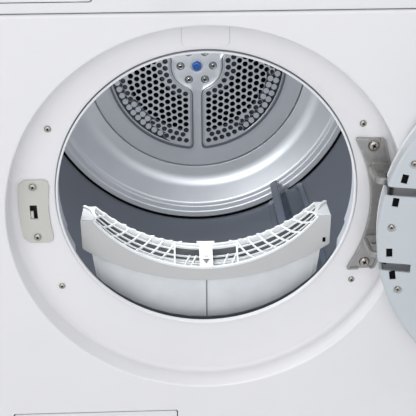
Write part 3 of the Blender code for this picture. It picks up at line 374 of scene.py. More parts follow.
# ---------------------------------------------------------------- materials
def add_node(tree, kind, **sockets):
    node = tree.nodes.new("ShaderNode" + kind)
    set_sockets(node, sockets)
    return node


def set_sockets(node, sockets):
    for socket, value in sockets.items():
        node.inputs[socket.replace("_", " ")].default_value = value


def link(tree, *ends):
    """Links a node's output to another's input: (node, output, node, input)."""
    tree.links.new(ends[0].outputs[ends[1]], ends[2].inputs[ends[3]])


def make_look(name, colour, rough, metallic=0.0, tone=0.03, tone_size=0.12, grain=0.25, grain_size=0.0012,
              stretch=(1.0, 1.0, 1.0), rough_span=0.05, bump=0.00004, **sockets):
    """A Principled finish whose colour drifts, whose gloss varies and whose surface has a fine grain."""
    material = bpy.data.materials.new(name)
    material.use_nodes = True
    tree = material.node_tree
    shader = tree.nodes["Principled BSDF"]
    set_sockets(shader, dict(sockets, Metallic=metallic))
    coords = add_node(tree, "TexCoord")
    mapping = add_node(tree, "Mapping", Scale=stretch)
    link(tree, coords, "Object", mapping, "Vector")

    cloud = add_node(tree, "TexNoise", Scale=1.0 / tone_size, Detail=5.0)
    link(tree, coords, "Object", cloud, "Vector")
    ramp = add_node(tree, "ValToRGB")
    for stop, place, gain in zip(ramp.color_ramp.elements, (0.3, 0.7), (1.0 - tone, 1.0 + tone)):
        stop.position = place
        stop.color = [min(max(0.0, part * gain), 1.0) for part in colour] + [1.0]
    link(tree, cloud, "Fac", ramp, "Fac")
    link(tree, ramp, "Color", shader, "Base Color")

    speck = add_node(tree, "TexNoise", Scale=1.0 / grain_size, Detail=3.0)
    link(tree, mapping, "Vector", speck, "Vector")
    span = add_node(
        tree, "MapRange", To_Min=max(0.02, rough - rough_span), To_Max=min(1.0, rough + rough_span))
    link(tree, speck, "Fac", span, "Value")
    link(tree, span, "Result", shader, "Roughness")
    relief = add_node(tree, "Bump", Strength=grain, Distance=bump)
    link(tree, speck, "Fac", relief, "Height")
    link(tree, relief, "Normal", shader, "Normal")
    return material


def add_weave(material, pitch, depth):
    """Crossed threads along X and Z, in relief and as a faint change of tone."""
    tree = material.node_tree
    shader = tree.nodes["Principled BSDF"]
    threads = add_node(tree, "Math")
    threads.operation = "MAXIMUM"
    for index, direction in enumerate(("X", "Z")):
        wave = add_node(tree, "TexWave", Scale=tau / 20.0 / pitch, Distortion=0.3)
        wave.bands_direction = direction
        link(tree, tree.nodes["Texture Coordinate"], "Object", wave, "Vector")
        link(tree, wave, "Fac", threads, index)
    relief = add_node(tree, "Bump", Strength=0.5, Distance=depth)
    link(tree, threads, "Value", relief, "Height")
    link(tree, relief, "Normal", shader, "Normal")
    dim = add_node(tree, "Mix", Factor=0.35)
    dim.data_type = "RGBA"
    dim.blend_type = "MULTIPLY"
    link(tree, tree.nodes["Color Ramp"], "Color", dim, "A")
    link(tree, threads, "Value", dim, "B")
    link(tree, dim, "Result", shader, "Base Color")


def make_looks():
    looks = {
        "paint": make_look("white_enamel", (0.8, 0.795, 0.81), 0.34, tone=0.012, grain_size=0.0016,
                           Coat_Weight=0.25, Coat_Roughness=0.12),
        "plastic": make_look("white_moulding", (0.78, 0.785, 0.8), 0.42, tone=0.015),
        # the white moulding painted grey for the shade on faces that look forward, away from the top light;
        # also the painted shadow line round the lamp cover
        "band": make_look("white_moulding_painted_shade", (0.55, 0.555, 0.555), 0.5, tone=0.02),
        "collar": make_look("collar_moulding", (0.56, 0.6, 0.65), 0.4, tone=0.02),
        "filter": make_look("filter_moulding", (0.8, 0.82, 0.83), 0.4, tone=0.02),
        "mesh": make_look("filter_cloth", (0.84, 0.87, 0.9), 0.75, tone=0.05, tone_size=0.03),
        # the same filter cloth painted dark for the shade inside the basket, seen through the grille
        "screen": make_look("cloth_painted_shade", (0.16, 0.175, 0.19), 0.75, tone=0.08, tone_size=0.03),
        "door": make_look("door_moulding", (0.55, 0.59, 0.62), 0.38, tone=0.02),
        "housing": make_look("housing_moulding", (0.1, 0.115, 0.14), 0.45, tone=0.06),
        "black": make_look("black_moulding", (0.018, 0.019, 0.022), 0.45, tone=0.2),
        # near-black that paints the shade in holes, pockets, wells and recesses; it is also the black of the
        # drum's joint gasket
        "void": make_look("near_black_and_painted_shade", (0.004, 0.004, 0.005), 0.8, tone=0.3, Specular_IOR_Level=0.08),
        # the drum's steel painted dark for the dark room it reflects: a painted dark reflection
        "drum": make_look("drum_steel", (0.19, 0.21, 0.25), 0.45, metallic=0.25, tone=0.05, tone_size=0.25,
                          grain=0.35, grain_size=0.02, stretch=(0.6, 22.0, 0.6), rough_span=0.08),
        "silver": make_look("satin_steel", (0.7, 0.73, 0.77), 0.36, metallic=0.36, tone=0.04,
                            tone_size=0.08, grain=0.3, grain_size=0.0016, rough_span=0.07),
        # darker steel that paints the shade in the drum back's grooves and dimples
        "crease": make_look("steel_painted_groove_shade", (0.27, 0.29, 0.32), 0.4, metallic=0.7, tone=0.06),
        "duct": make_look("duct_steel", (0.07, 0.08, 0.095), 0.5, metallic=0.4, tone=0.1),
        "galvanised": make_look("galvanised_steel", (0.5, 0.52, 0.54), 0.42, metallic=0.8, tone=0.14,
                                tone_size=0.015, rough_span=0.12),
        "screw": make_look("nickel_screw", (0.46, 0.435, 0.39), 0.24, metallic=1.0, tone=0.08,
                           tone_size=0.004),
        "zinc": make_look("zinc_casting", (0.4, 0.395, 0.385), 0.36, metallic=0.82, tone=0.1,
                          tone_size=0.006, grain=0.6, grain_size=0.0009, bump=0.0001, rough_span=0.1),
        "latch": make_look("latch_moulding", (0.56, 0.56, 0.52), 0.5, tone=0.03, grain=0.4),
        "lifter": make_look("lifter_moulding", (0.22, 0.27, 0.34), 0.22, tone=0.06,
                            Transmission_Weight=0.35, IOR=1.45),
        "blue": make_look("blue_cap", (0.045, 0.16, 0.52), 0.3, tone=0.08, tone_size=0.003),
        "clear": make_look("clear_bowl", (0.9, 0.93, 0.95), 0.04, tone=0.01, rough_span=0.02,
                           grain=0.02, grain_size=0.03, Transmission_Weight=1.0, IOR=1.48),
        "smoked": make_look("smoked_window", (0.05, 0.055, 0.065), 0.05, tone=0.05, rough_span=0.02,
                            grain=0.02, grain_size=0.03, Transmission_Weight=0.55, IOR=1.48),
        "glass": make_look("display_glass", (0.01, 0.011, 0.014), 0.08, tone=0.1, rough_span=0.03,
                           Coat_Weight=0.5),
        "rubber": make_look("rubber", (0.025, 0.025, 0.027), 0.75, tone=0.15, grain=0.5),
        "motor": make_look("motor_lacquer", (0.035, 0.037, 0.042), 0.4, tone=0.1, grain=0.5),
        "fins": make_look("aluminium_fins", (0.66, 0.67, 0.68), 0.35, metallic=0.95, tone=0.06),
        "laminate": make_look("white_laminate", (0.68, 0.68, 0.685), 0.3, tone=0.02, tone_size=0.3,
                              grain=0.45, grain_size=0.0024, bump=0.00008),
        "print": make_look("grey_print", (0.2, 0.21, 0.23), 0.5, tone=0.05),
        "glow": make_look("display_glow", (0.75, 0.88, 1.0), 0.5, tone=0.04,
                          Emission_Color=(0.7, 0.87, 1.0, 1.0), Emission_Strength=1.6),
    }
    for name in ("mesh", "screen"):
        add_weave(looks[name], 0.0009, 0.0002)
    return looks


LOOKS = make_looks()


# ---------------------------------------------------------------- front panel and cabinet
def rectangle_row(half, low, high, y, count):
    corners = [(-half, low), (half, low), (half, high), (-half, high)]
    row = []
    for index in range(count):
        side, share = divmod(index, count // 4)
        start = Vector(corners[side])
        end = Vector(corners[(side + 1) % 4])
        point = start.lerp(end, share / (count // 4))
        row.append(Vector((point.x, y, point.y)))
    return row


def circle_row(radius, centre_z, y, count):
    row = []
    for index in range(count):
        angle = radians(-135.0 + 360.0 * index / count)
        row.append(Vector((radius * cos(angle), y, centre_z + radius * sin(angle))))
    return row


def recess_profile():
    """(growth of the radius, depth behind the front face) over the recess's rim and wall."""
    corners = [(0.0048, 0.0), (0.0, 0.0, 0.0042), (0.0, RECESS_DEPTH, 0.009), (-0.0125, RECESS_DEPTH)]
    return rounded(corners, closed=False, steps=7)


def make_front_skin():
    low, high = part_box("front_panel")
    fold = 0.0035
    rows = [rectangle_row(high.x, low.z, high.z, FRONT_Y + 0.018, ROUND)]
    for step in range(6):
        turn = radians(90.0 * step / 5)
        inset = fold * (1.0 - cos(turn))
        back = fold * (1.0 - sin(turn))
        rows.append(rectangle_row(high.x - inset, low.z + inset, high.z - inset, FRONT_Y + back, ROUND))
    inset = fold + 0.003
    rows.append(rectangle_row(high.x - inset, low.z + inset, high.z - inset, FRONT_Y, ROUND))
    centre_z = MOUTH.z - RECESS_DROP
    rows += [
        circle_row(RECESS_RADIUS + grow, centre_z, FRONT_Y + back, ROUND)
        for grow, back in recess_profile()]
    hem = rounded([(0.006, 0.0), (0.0, 0.0, 0.0016), (0.0, 0.009)], closed=False)
    rows += [circle_row(OPENING_RADIUS + grow, MOUTH.z, MOUTH.y + back, ROUND) for grow, back in hem]
    shape = solid(facing(loft(rows, cap=False), FORWARD), 0.001)
    flap_hole = panel(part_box("service_flap"), -0.0012, 0.003, FRONT_Y - 0.01, FRONT_Y + 0.01)
    middle = centre_of("latch_plate")[2]
    lock_hole = block((-0.22, MOUTH.y - 0.01, middle - 0.014), (-0.205, MOUTH.y + 0.01, middle + 0.014))
    shape = carved(shape, flap_hole, lock_hole)
    piece("front_skin", shape, "paint", "cabinet", ["front_panel"], sharp_deg=40.0)


def make_lamp_cover():
    """The lamp's cover in its seam: both follow the recess's floor and bend up its wall. The seam is a
    slightly wider plate in the grey moulding, a painted shadow line round the cover.
    """
    piece(
        "lamp_cover_plate", bent_cover(0.0268, 0.001), "paint", "cabinet", ["lamp_cover"])
    piece("lamp_cover_seam_shade", bent_cover(0.0275, 0.0003), "band", "cabinet")


def bent_cover(half, proud):
    """A thin plate with round lower corners that stands proud of the recess's floor and wall."""
    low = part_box("lamp_cover")[0].z - MOUTH.z
    wall_top = RECESS_RADIUS - RECESS_DROP
    profile = rounded([(0.0, low), (0.0, wall_top - 0.0008, 0.0095), (0.027, wall_top - 0.0008)],
                      closed=False, steps=8)
    corner = 0.007
    rows = []
    for back, height in profile:
        rise = min(height - low, corner)
        inset = corner - sqrt(max(0.0, corner ** 2 - (corner - rise) ** 2))
        rows.append((back, height, half - inset))
    steps = [low + corner * (1.0 - cos(radians(90.0 * step / 6))) for step in range(1, 7)]
    extra = [(0.0, height, half - corner + sqrt(corner ** 2 - (corner - (height - low)) ** 2))
             for height in steps]
    rows = rows[:1] + extra + rows[1:]
    count = 12
    points = []
    for back, height, reach in rows:
        points.append([])
        for step in range(count + 1):
            x = reach * (2.0 * step / count - 1.0)
            sag = (RECESS_RADIUS - sqrt(RECESS_RADIUS ** 2 - x ** 2)) if height > low + 0.02 else 0.0
            points[-1].append(mouth(x, -back - proud, height - sag))
    return solid(facing(tidy(skin(points, closed_rows=False)[0]), FORWARD), proud * 0.8)


def make_cabinet():
    low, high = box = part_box("worktop")
    top = panel(box, 0.0, 0.01, low.z + 0.0035, high.z, 0.0022, "Z")
    outline = rectangle(low.x + 0.002, low.y + 0.002, high.x - 0.002, high.y - 0.001, 0.009)
    lip = prism(outline, low.z, low.z + 0.0042, axis="Z")
    piece("worktop_board", join(top, lip), "laminate", "cabinet", ["worktop"])

    for side, name in ((-1.0, "side_panel_left"), (1.0, "side_panel_right")):
        low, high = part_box(name)
        outer = side * max(abs(low.x), abs(high.x))
        inner = outer - side * 0.012
        margin_y = 0.045
        margin_z = 0.055
        rows = []
        fields = ((0.0, 0.0, 0.0), (margin_y, margin_z, 0.0), (margin_y + 0.006, margin_z + 0.006, 0.0025))
        for inset_y, inset_z, dip in fields:
            outline = rectangle(low.y + inset_y, low.z + inset_z, high.y - inset_y, high.z - inset_z,
                                0.0012 if dip == 0.0 and inset_y == 0.0 else 0.03 - dip)
            rows.append([Vector((outer - side * dip, y, z)) for y, z in outline])
        shape = bmesh.new()
        made = [[shape.verts.new(point) for point in row] for row in rows]
        flange = [shape.verts.new((inner, point.y, point.z)) for point in rows[0]]
        bridge(shape, [flange] + made)
        shape.faces.new(made[-1])
        tidy(shape)
        shape = solid(facing(shape, (side, 0.0, 0.0)), 0.001)
        soften(shape, 0.0006, 60.0)
        piece(name + "_sheet", shape, "paint", "cabinet", [name])

    low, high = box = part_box("base_tray")
    tray = carved(panel(box, 0.0, 0.012, low.z + 0.0015, high.z, 0.003, "Z"),
                  panel(box, 0.0035, 0.009, low.z + 0.005, high.z + 0.01, axis="Z"))
    pad = prism(rectangle(-0.06, -0.06, 0.06, 0.06, 0.008), low.z, low.z + 0.002, axis="Z")
    ribs = []
    for x in (-0.22, -0.16, -0.1, 0.1, 0.16, 0.22):
        outline = rectangle(x - 0.0015, low.y + 0.02, x + 0.0015, high.y - 0.02)
        ribs.append(prism(outline, low.z + 0.0008, low.z + 0.002, axis="Z"))
    piece("base_moulding", join(tray, pad, *ribs), "black", "cabinet", ["base_tray"])

    for index in range(4):
        name = f"foot_{index + 1}"
        low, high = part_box(name)
        centre = (*centre_of(name)[:2], low.z)
        height = high.z - low.z
        pad = lathe([(0.0, 0.0), (0.0175, 0.0), (0.02, 0.0025), (0.02, 0.006), (0.012, 0.0085),
                     (0.007, 0.01), (0.007, height), (0.0, height)], centre, axis="Z", steps=40)
        nut = prism(circle(centre, 0.0115, 6), low.z + 0.0098, low.z + 0.0142, axis="Z",
                    soft=0.0006)
        piece(name + "_levelled", join(pad, nut), "rubber", "cabinet", [name])


def make_rear():
    low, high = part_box("rear_panel")
    rear_y = high.y - 0.011
    cover = 0.225
    edge = high.x
    rows = [rectangle_row(edge, low.z, high.z, rear_y - 0.01, ROUND),
            rectangle_row(edge, low.z, high.z, rear_y - 0.0015, ROUND),
            rectangle_row(edge - 0.0015, low.z + 0.0015, high.z - 0.0015, rear_y, ROUND),
            rectangle_row(edge - 0.006, low.z + 0.006, high.z - 0.006, rear_y, ROUND)]
    profile = rounded([
        (cover + 0.012, 0.0), (cover, 0.0, 0.004), (cover - 0.006, 0.011, 0.004), (0.15, 0.011, 0.002),
        (0.147, 0.0085, 0.002), (0.12, 0.0085, 0.002), (0.117, 0.011, 0.002), (0.062, 0.011, 0.003),
        (0.057, 0.007, 0.003), (0.02, 0.007)], closed=False, steps=4)
    rows += [circle_row(radius, MOUTH.z, rear_y + rise, ROUND) for radius, rise in profile]
    shape, made = skin(rows)
    shape.faces.new(made[-1])
    shape = solid(facing(tidy(shape), -FORWARD), 0.001)
    vents = [prism(rectangle(-0.24, z, -0.09, z + 0.008, 0.0038), rear_y - 0.01, rear_y + 0.01)
             for z in [0.06 + 0.02 * index for index in range(5)]]
    piece(
        "rear_sheet", carved(shape, *vents), "galvanised", "cabinet", ["rear_panel"],
        sharp_deg=40.0)

    spots = [(x, z) for x in (-0.284, 0.284) for z in (0.04, 0.29, 0.54, 0.79)]
    spots += [(x, z) for x in (-0.1, 0.1) for z in (0.022, 0.8)]
    spots += arc((0.0, MOUTH.z), cover + 0.016, 30.0, 330.0, 5)
    heads = [placed_screw((x, rear_y, z), 1.1, pi, "Z") for x, z in spots]
    piece("rear_screws", join(*heads), "screw", "cabinet")


# ---------------------------------------------------------------- screws
SCREW_RADIUS = 0.004


def make_screw_shape():
    """A pan head with a cross recess, its seat in the plane y = 0."""
    radius = SCREW_RADIUS
    rise = radius * 0.52
    profile = rounded([
        (0.0, -rise), (radius * 0.72, -rise * 0.93, radius * 0.5), (radius, -rise * 0.25, radius * 0.2),
        (radius, 0.0), (0.0, 0.0)], steps=4)
    head = lathe(profile, (0.0, 0.0, 0.0), steps=28)
    long = radius * 0.42
    wide = radius * 0.14
    cutters = []
    for turn in (0.0, pi / 2.0):
        cutter = block((-long, -rise * 1.5, -wide), (long, -rise * 0.3, wide))
        cutters.append(moved(cutter, Matrix.Rotation(turn + 0.4, 4, "Y")))
    head = carved(head, *cutters)
    # the cross recess's faces take material index 1, near-black painted shade
    for face in head.faces:
        place = face.calc_center_median()
        if place.y > -rise * 0.9 and hypot(place.x, place.z) < long * 1.01 and place.y < -rise * 0.1:
            face.material_index = 1
    return head


SCREW = make_screw_shape()


def placed_screw(place, size, turn=0.0, axis="Y"):
    return copied(SCREW, Matrix.Translation(place) @ Matrix.Rotation(turn, 4, axis) @ Matrix.Scale(size, 4))


def set_screw(node, share=1.06):
    """A detailed screw in a CAD screw's place, share times as wide."""
    low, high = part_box(node)
    x, _, z = centre_of(node)
    head = placed_screw((x, high.y, z), (high.x - low.x) / 2.0 / SCREW_RADIUS * share)
    piece(node + "_head", head, "screw", "cabinet", [node])


# ---------------------------------------------------------------- drum
def sector_outline(edge, outer, inner, outer_corner, inner_corner):
    """One perforated sector, between a spoke along +x and the next at 120 degrees, edge away from each."""
    bend = radians(60.0)
    inner_along = sqrt(inner ** 2 - edge ** 2)
    outer_along = sqrt(outer ** 2 - edge ** 2)
    inner_turn = atan2(edge, inner_along)
    outer_turn = atan2(edge, outer_along)

    def on_circle(radius, turn):
        return Vector((radius * cos(turn), radius * sin(turn)))

    def curve(start, corner, end, steps):
        return [
            start * (1 - s / steps) ** 2 + corner * 2 * (s / steps) * (1 - s / steps)
            + end * (s / steps) ** 2 for s in range(steps)]

    half = []
    start_turn = inner_turn + inner_corner / inner
    for step in range(6):
        half.append(on_circle(inner, bend + (start_turn - bend) * step / 6))
    line_start = Vector((inner_along + inner_corner, edge))
    line_end = Vector((outer_along - outer_corner, edge))
    half += curve(on_circle(inner, start_turn), Vector((inner_along, edge)), line_start, 5)
    half += [line_start.lerp(line_end, step / 10) for step in range(10)]
    arc_turn = outer_turn + outer_corner / outer
    half += curve(line_end, Vector((outer_along, edge)), on_circle(outer, arc_turn), 5)
    for step in range(17):
        half.append(on_circle(outer, arc_turn + (bend - arc_turn) * step / 16))
    mirror = []
    for point in reversed(half[1:-1]):
        radius = point.length
        turn = 2.0 * bend - atan2(point.y, point.x)
        mirror.append(on_circle(radius, turn))
    return [(point.x, point.y) for point in half + mirror]


def dome(x, z):
    """Depth of the drum's back: a flat hub, a shallow dome round it, then the flat rim."""
    radius = hypot(x, z)
    share = min(max((radius - 0.04) / 0.125, 0.0), 1.0)
    return HUB_DEPTH + (DISC_DEPTH - HUB_DEPTH) * (1.0 - (1.0 - share) ** 1.6)


def hole_places(pitch=0.0125, edge=0.021, outer=0.148, inner=0.057):
    """Centres of one sector's holes: a row along each arc, and a triangular grid between."""
    places = []
    step = pitch * 0.89
    for radius, shift in ((outer, 0.0), (outer - step, 0.5), (inner, 0.0)):
        start = asin(edge / radius)
        span = radians(120.0) - 2.0 * start
        count = max(1, round(span * radius / pitch))
        for index in range(count + (0 if shift else 1)):
            turn = start + span * (index + shift) / count
            places.append((radius * cos(turn), radius * sin(turn)))
    fixed = len(places)
    side = Vector((cos(radians(120.0)), sin(radians(120.0))))
    corner = Vector((edge / tan(radians(60.0)), edge))
    for i in range(14):
        for j in range(14):
            spot = corner + Vector((1.0, 0.0)) * pitch * i + side * pitch * j
            if not inner + step * 0.5 < spot.length < outer - step * 1.5:
                continue
            if min((spot - Vector(place)).length for place in places[:fixed]) > pitch * 0.62:
                places.append((spot.x, spot.y))
    return spread(places, fixed, pitch, edge)


def spread(places, fixed, pitch, edge):
    """Lets the free places push apart until they are even; the fixed ones and the edges hold them in."""
    spots = [Vector(place) for place in places]
    across = Vector((sin(radians(120.0)), -cos(radians(120.0))))
    for _ in range(40):
        for index in range(fixed, len(spots)):
            push = Vector((0.0, 0.0))
            for other, spot in enumerate(spots):
                gap = spots[index] - spot
                if other != index and gap.length < pitch * 1.15:
                    push += gap.normalized() * (pitch * 1.15 - gap.length) * 0.2
            spot = spots[index] + push
            spot.y = max(spot.y, edge)
            short = edge - spot.dot(across)
            spots[index] = spot + across * max(short, 0.0)
    return [(spot.x, spot.y) for spot in spots]


def pressed(shape, place, steps, count):
    """Rows of vertices round a place in the drum's back, at (radius, depth) each, joined by faces."""
    rows = [[shape.verts.new((a, depth, b)) for a, b in circle(place, radius, count)]
            for radius, depth in steps]
    bridge(shape, rows)
    return rows


def paint_groove_shade(shape, start):
    """Marks the faces made after the first ones for the darker steel that paints the shade in a groove."""
    shape.faces.ensure_lookup_table()
    for face in shape.faces[start:]:
        face.material_index = 1


def make_drum_back():
    shape = bmesh.new()
    hole = 0.0047
    lip = 0.0054
    # (from the spoke's axis, outer radius, inner radius, outer corner, inner corner, below the dome)
    levels = [
        (0.0046, 0.166, 0.042, 0.012, 0.011, 0.0),
        (0.006, 0.1645, 0.0434, 0.0115, 0.011, -0.0016),
        (0.0072, 0.1632, 0.0447, 0.011, 0.0105, -0.0016),
        (0.0084, 0.1618, 0.046, 0.01, 0.0105, 0.003),
        (0.01, 0.1602, 0.0476, 0.009, 0.01, 0.0046),
        (0.0114, 0.1588, 0.049, 0.0085, 0.0095, 0.004),
        (0.0128, 0.1574, 0.0506, 0.008, 0.009, 0.0014)]
    bed = levels[-1][5]
    rings = []
    for *sizes, below in levels:
        rings.append([(x, z, dome(x, z) + below) for x, z in sector_outline(*sizes)])
    holes = [circle(place, lip, 12) for place in hole_places()]
    sheet = bmesh.new()
    fill(sheet, [[(x, z) for x, z, _ in rings[-1]]] + holes, 0.0)
    for vert in sheet.verts:
        vert.co.y = dome(vert.co.x, vert.co.z) + bed
    for place in hole_places():
        rows = []
        for radius, below in ((lip, 0.0), (hole + 0.0003, -0.0005), (hole, 0.0009)):
            rows.append([sheet.verts.new((a, dome(a, b) + bed + below, b))
                         for a, b in circle(place, radius, 12)])
        bridge(sheet, rows)
    made = [[sheet.verts.new((x, depth, z)) for x, z, depth in ring] for ring in rings]
    bridge(sheet, made[:3])
    bridge(sheet, made[4:])
    # the groove round each sector gets the darker steel: painted shade
    plain = len(sheet.faces)
    bridge(sheet, made[2:5])
    paint_groove_shade(sheet, plain)

    sectors = [copied(sheet, Matrix.Rotation(radians(90.0 + 120.0 * index), 4, "Y")) for index in range(3)]
    sheet.free()
    rim = 0.172
    rim_loop = circle((0.0, 0.0), rim, ROUND)
    loops = [rim_loop]
    for index in range(3):
        turn = Matrix.Rotation(radians(90.0 + 120.0 * index), 3, "Y")
        loops.append([tuple((turn @ Vector((x, 0.0, z))).xz) for x, z, _ in rings[0]])
    dimple = 0.0075
    dimples = circle((0.0, 0.0), 0.029, 6)
    loops += [circle(spot, dimple, 24) for spot in dimples]
    loops.append(circle((0.0, 0.0), 0.0115, 32))
    web = bmesh.new()
    fill(web, loops, 0.0)
    for vert in web.verts:
        vert.co.y = dome(vert.co.x, vert.co.z)
    for spot in dimples:
        # each dimple's hollow gets the darker steel: painted shade
        plain = len(web.faces)
        steps = ((dimple, 0.0), (0.0066, 0.0004), (0.0058, 0.0014), (0.0045, 0.0017))
        rows = pressed(web, spot, [(radius, HUB_DEPTH + below) for radius, below in steps], 24)
        paint_groove_shade(web, plain)
        web.faces.new(rows[-1])
    steps = ((0.0115, 0.0), (0.0108, 0.0004), (0.0102, 0.0018), (0.0098, 0.0034))
    rows = pressed(web, (0.0, 0.0), [(radius, HUB_DEPTH + below) for radius, below in steps], 32)
    web.faces.new(rows[-1])
    shape = join(shape, web, *sectors)

    profile = rounded([
        (rim, DISC_DEPTH), (0.1966, 0.5532, 0.001), (0.1968, 0.563), (0.199, 0.563),
        (0.1992, 0.5526, 0.001), (0.227, 0.5475, 0.05), (0.26, 0.52, 0.012), (0.267, 0.5178, 0.006),
        (0.274, 0.51, 0.006), (0.2838, DRUM_JOINT + 0.0004, 0.001), (0.2842, DRUM_JOINT + 0.004)],
        closed=False, steps=6)
    pressed(shape, (0.0, 0.0), profile, ROUND)
    bmesh.ops.remove_doubles(shape, verts=shape.verts, dist=0.00002)
    bmesh.ops.recalc_face_normals(shape, faces=shape.faces)
    facing(shape, FORWARD)
    moved(shape, Matrix.Translation(MOUTH))
    shape = solid(shape, 0.0009)
    piece(
        "drum_back_disc", shape, "silver", "drum", ["drum_back", "drum_hub"], sharp_deg=50.0)

    heads = [placed_screw(mouth(x, HUB_DEPTH + 0.0016, z), 1.02, x * 40.0) for x, z in dimples]
    piece("hub_screws", join(*heads), "screw", "drum")
    cap = rounded([
        (0.0, -0.0038), (0.002, -0.0038, 0.0005), (0.0024, -0.0002, 0.0003), (0.0042, -0.0002, 0.0003),
        (0.0046, -0.004, 0.0005), (0.0066, -0.0036, 0.0008), (0.0084, -0.0016, 0.0006), (0.0086, 0.003),
        (0.0, 0.003)], steps=3)
    piece("hub_cap_moulding", lathe(cap, mouth(0.0, HUB_DEPTH, 0.0), steps=48), "blue", "drum",
          ["hub_cap"])


def make_drum_shell():
    r = DRUM_RADIUS
    t = 0.001
    front = DRUM_FRONT
    joint = DRUM_JOINT
    profile = rounded([
        (r - 0.012, front), (r - 0.003, front, 0.002), (r, front + 0.006, 0.002), (r, joint - 0.003),
        (r + 0.0002, joint - 0.0022, 0.0004), (r + t, joint - 0.0022), (r + t, front + 0.005, 0.002),
        (r - 0.0028, front - t, 0.002), (r - 0.012, front - t)], steps=4)
    shell = lathe(profile)
    angle = radians(LIFTER_ANGLES[0] + 60.0)
    seam = bar([mouth((r - 0.0001) * cos(angle), depth, (r - 0.0001) * sin(angle))
                for depth in (front + 0.006, 0.2, 0.35, joint - 0.006)], 0.004, 0.0006,
               up=Vector((-cos(angle), 0.0, -sin(angle))))
    # the shell wears the darkened drum steel, a painted dark reflection
    piece("drum_shell_sheet", join(shell, seam), "drum", "drum", ["drum_shell"])
    # the joint's gasket is black, in the same near-black that elsewhere paints shade
    gasket = lathe(rectangle(r - 0.0026, joint - 0.0002, r + 0.0008, joint + 0.006))
    piece("drum_joint_band", gasket, "void", "drum")
    lip = lathe(rounded([
        (r - 0.0128, front - 0.0042, 0.001), (r - 0.0004, front - 0.0042, 0.001),
        (r - 0.0004, front - 0.0012), (r - 0.0128, front - 0.0012)]))
    piece("drum_front_felt", lip, "rubber", "drum")


LIFTER_ANGLES = (-55.5, 64.5, 184.5)


def make_lifters():
    """Rounded ridge on sloping walls, ends that lean in, and a thin flange all round the foot."""
    height = 0.0535
    half_foot = 0.03
    ridge = 0.0072
    stations = [(0.104, 0.1), (0.11, 0.3), (0.12, 0.62), (0.13, 0.86), (0.14, 0.97), (0.15, 1.0)]
    back = [(0.602 - depth, share) for depth, share in reversed(stations)]
    spans = stations + [(0.15 + 0.302 * step / 8, 1.0) for step in range(1, 8)] + back
    rows = []
    for depth, share in spans:
        top = height * share
        section = rounded([
            (-half_foot, 0.0), (-ridge * 1.35, top * 0.45, 0.012), (-ridge, top - ridge, 0.004),
            (-ridge, top, ridge * 0.98), (ridge, top, ridge * 0.98), (ridge, top - ridge, 0.004),
            (ridge * 1.35, top * 0.45, 0.012), (half_foot, 0.0)], closed=False, steps=5)
        row = []
        for across, rise in section:
            floor = sqrt((DRUM_RADIUS - 0.0008) ** 2 - across ** 2)
            row.append(Vector((across, depth, -(floor - rise))))
        rows.append(row)
    body = loft(rows)
    flange = []
    edge = half_foot + 0.008
    for depth, reach in ((0.094, half_foot - 0.002), (0.1, edge), (0.3, edge + 0.002), (0.5, edge),
                         (0.506, half_foot - 0.002)):
        row = []
        for side, thick in ((1.0, 0.0014), (-1.0, 0.0)):
            for share in range(13):
                across = side * reach * (share / 6.0 - 1.0)
                floor = sqrt((DRUM_RADIUS - 0.0006) ** 2 - across ** 2)
                row.append(Vector((across, depth, -floor + thick)))
        flange.append(row)
    lifter = join(body, loft(flange))
    for index, angle in enumerate(LIFTER_ANGLES):
        turn = Matrix.Translation(MOUTH) @ Matrix.Rotation(-radians(90.0 + angle), 4, "Y")
        piece(f"lifter_{index + 1}_moulding", copied(lifter, turn), "lifter", "drum",
              [f"drum_lifter_{index + 1}"])
    lifter.free()


def make_rear_duct():
    """The plate and the ring-shaped well that show through the drum's perforated back; the well is painted
    near-black as the shade deep behind the plate.
    """
    plate = 0.566
    well = 0.598
    rings = [
        lathe(rectangle(inner, plate, outer, plate + 0.001))
        for inner, outer in ((0.034, 0.072), (0.131, 0.215))]
    piece("rear_duct_plates", join(*rings), "duct", "cabinet")
    # a near-black well: painted shade
    wall = lathe([
        (0.0725, plate + 0.0012), (0.0725, well), (0.1305, well), (0.1305, plate + 0.0012),
        (0.132, plate + 0.0012), (0.132, well + 0.001), (0.071, well + 0.001), (0.071, plate + 0.0012)])
    piece("rear_duct_well_shade", wall, "void", "cabinet")


# ---------------------------------------------------------------- mouth: collar, housing, lint filter
SLOT_HALF = 0.1675
SLOT_FRONT = 0.0015
NOTCH_Z = -0.0535


def make_collar():
    r = OPENING_RADIUS - 0.0012
    lip = 0.1816
    tube = 0.03
    wall = 0.0026
    rear = 0.265
    rear_depth = 0.079
    profile = rounded([
        (lip, -0.0026, 0.0018), (r, -0.0026, 0.0012), (r, 0.0105), (r + 0.006, 0.0105),
        (r + 0.006, tube - wall, 0.002), (rear + wall, rear_depth - wall, 0.003),
        (rear + wall, rear_depth + 0.0085), (rear, rear_depth + 0.0085), (rear, rear_depth, 0.003),
        (lip + 0.003, tube, 0.0012), (lip + 0.001, 0.006)], steps=4)
    shape = lathe(profile)
    half = SLOT_HALF + 0.001
    slot = block(mouth(-half, SLOT_FRONT, -0.3), mouth(half, 0.0765, NOTCH_Z))
    step = block(mouth(-half - 0.012, 0.02, -0.3), mouth(half + 0.012, 0.05, NOTCH_Z + 0.004))
    shape = carved(shape, slot, step)
    piece("collar_ring", shape, "collar", "cabinet", ["door_collar"], sharp_deg=40.0)
    seal = lathe(rounded([
        (lip - 0.0003, 0.001), (lip - 0.0003, -0.0032, 0.001), (r + 0.0002, -0.0032, 0.0012),
        (r + 0.0002, -0.002), (lip + 0.0004, -0.002), (lip + 0.0004, 0.001)], steps=4))
    piece("collar_lip_bead", seal, "plastic", "cabinet")


